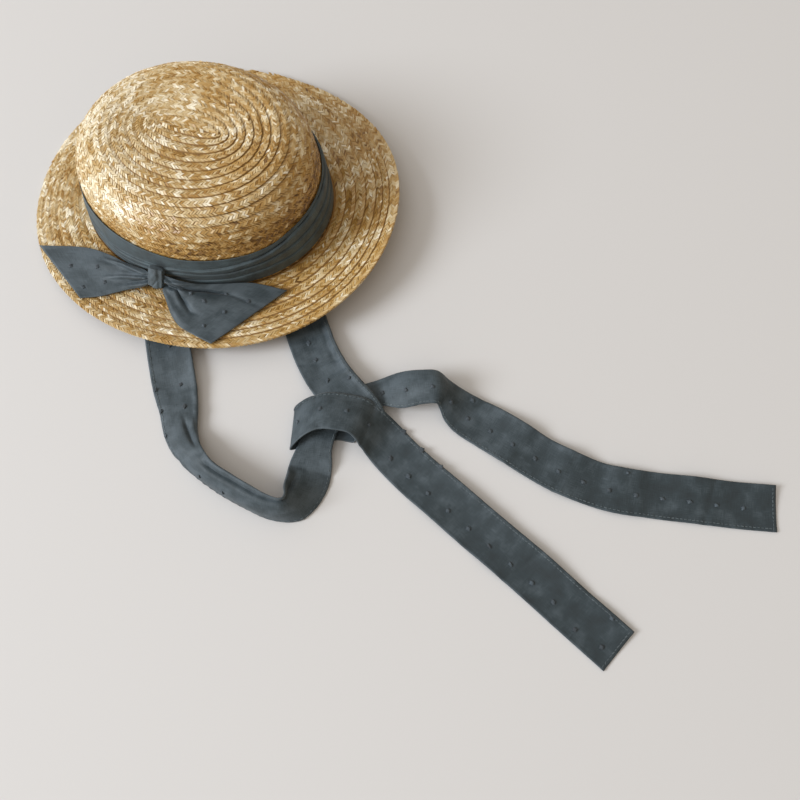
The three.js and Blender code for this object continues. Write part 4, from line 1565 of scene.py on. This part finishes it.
TUFTS = (tuft_shape(), TUFT_SIZE, TUFT_YARN)
STITCHES = (LEAF, STITCH_SIZE, THREAD)


def sewn_on(name, form, relief, marks, kind, turned, seed):
    """Small shapes on the upper face of a cloth, at marks (u, v), turned from its length."""
    shape, size, yarn = kind
    u, v = np.array(marks).T
    rng = np.random.default_rng(seed)
    place, along, out = cloth_places(form, relief, u, v)
    out = out * np.where(out[:, 2] < 0, -1, 1)[:, None]
    spin = np.radians(turned + rng.normal(0, TURN_SPREAD, len(u)))
    nose = turned_in_plane(along, np.cross(along, out), spin)
    frames = np.stack([np.cross(nose, out), nose, out], -1)
    place = place + out * (SHEET_WALL / 2 + SUNK_IN * size[2])
    sizes = np.array(size) * rng.normal(1, SHAPE_SPREAD, (len(u), 3))
    piece = set_down(name, shape, place, frames, sizes, 0 * u, yarn, seed, "cloth")
    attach(piece, "root")
    print(name, len(u), "shapes")
    return piece


# %% [markdown]
# The tufts come in a main line along the ribbon, about every 17 mm, and a sparse line near one
# edge. They are listed as places along the ribbon, in millimetres, and shares across it. Where
# the line is even, a helper counts it out.

# %% Tufts on the ties
TUFT_STEP = 17.4


def tuft_line(first, last, share):
    return [(place, share) for place in np.arange(first, last, TUFT_STEP)]


def on_ribbon(places, run):
    """Marks (u, v) for places in millimetres along a ribbon and shares across it."""
    return [(place * MM / run, share) for place, share in places]


LEFT_TUFTS = (
    *((88, 0.53), (119, 0.63), (137, 0.66)),
    *((119, 0.05), (137, 0.05), (155.3, 0.05)),
    *((189.7, 0.3), (208.1, 0.3), (335.1, 0.3)),
    *tuft_line(364.5, 630, 0.45),
    *((430, 0.88), (548, 0.9)),
)
RIGHT_TUFTS = (
    *tuft_line(195.3, 225, 0.43),
    *((232, 0.43), (246, 0.43), (265, 0.43), (282, 0.43)),
    *((447, 0.97), (464.5, 0.97), (482, 0.97)),
    (273.3, 0.83),
    *tuft_line(372.7, 440, 0.5),
    *tuft_line(452, 600, 0.36),
    *((611.5, 0.23), (630.2, 0.33), (624.3, 0.9)),
)
TUFT_TURN = 20
left_marks, right_marks = on_ribbon(LEFT_TUFTS, LEFT_RUN), on_ribbon(RIGHT_TUFTS, RIGHT_RUN)
left_tufts = sewn_on("tie_left_tufts", *ON_LEFT, left_marks, TUFTS, TUFT_TURN, 21)
right_tufts = sewn_on("tie_right_tufts", *ON_RIGHT, right_marks, TUFTS, TUFT_TURN, 22)

# %% [markdown]
# One long seam closes each tie along an edge, and a short one closes its free end. Stitches are
# spaced evenly, as a machine makes them. Those at the end are turned by a right angle.

# %% Stitches on the ties
STITCH_STEP = 2.6 * MM
STITCH_INSET = 2.0 * MM
STITCH_START = 50 * MM


def hem_marks(run, seam):
    """Stitches along one edge of a tie: seam is 0 or 1, for the edge where v is that number."""
    along = np.arange(STITCH_START, run - STITCH_INSET, STITCH_STEP) / run
    return [(u, abs(seam - STITCH_INSET / WIDE)) for u in along]


def end_marks(run):
    """Stitches across the free end of a tie."""
    across = np.arange(STITCH_INSET, WIDE - STITCH_INSET / 2, STITCH_STEP) / WIDE
    return [(1 - STITCH_INSET / run, v) for v in across]


left_hem, right_hem = hem_marks(LEFT_RUN, LEFT_SEAM), hem_marks(RIGHT_RUN, RIGHT_SEAM)
left_stitches = sewn_on("tie_left_stitches", *ON_LEFT, left_hem, STITCHES, 0, 23)
right_stitches = sewn_on("tie_right_stitches", *ON_RIGHT, right_hem, STITCHES, 0, 24)
left_end = sewn_on("tie_left_end_stitches", *ON_LEFT, end_marks(LEFT_RUN), STITCHES, 90, 25)
right_end = sewn_on("tie_right_end_stitches", *ON_RIGHT, end_marks(RIGHT_RUN), STITCHES, 90, 26)

# %% [markdown]
# The tails carry only a few tufts each, at single places (u, v). They are turned a little further
# than those on the ties, since the tails fan out from the knot.

# %% Tufts on the tails
LEFT_TAIL_TUFTS = ((0.92, 0.6), (0.75, 0.6), (0.71, 0.27), (0.92, 0.19))
RIGHT_TAIL_TUFTS = ((0.44, 0.67), (0.61, 0.56), (0.84, 0.44), (0.81, 0.16), (0.89, 0.7), (0.71, 0.76))
TAIL_TUFT_TURN = 30

tail_left_tufts = sewn_on(
    "bow_left_tufts", *ON_LEFT_TAIL, LEFT_TAIL_TUFTS, TUFTS, TAIL_TUFT_TURN, 27
)
tail_right_tufts = sewn_on(
    "bow_right_tufts", *ON_RIGHT_TAIL, RIGHT_TAIL_TUFTS, TUFTS, TAIL_TUFT_TURN, 28
)
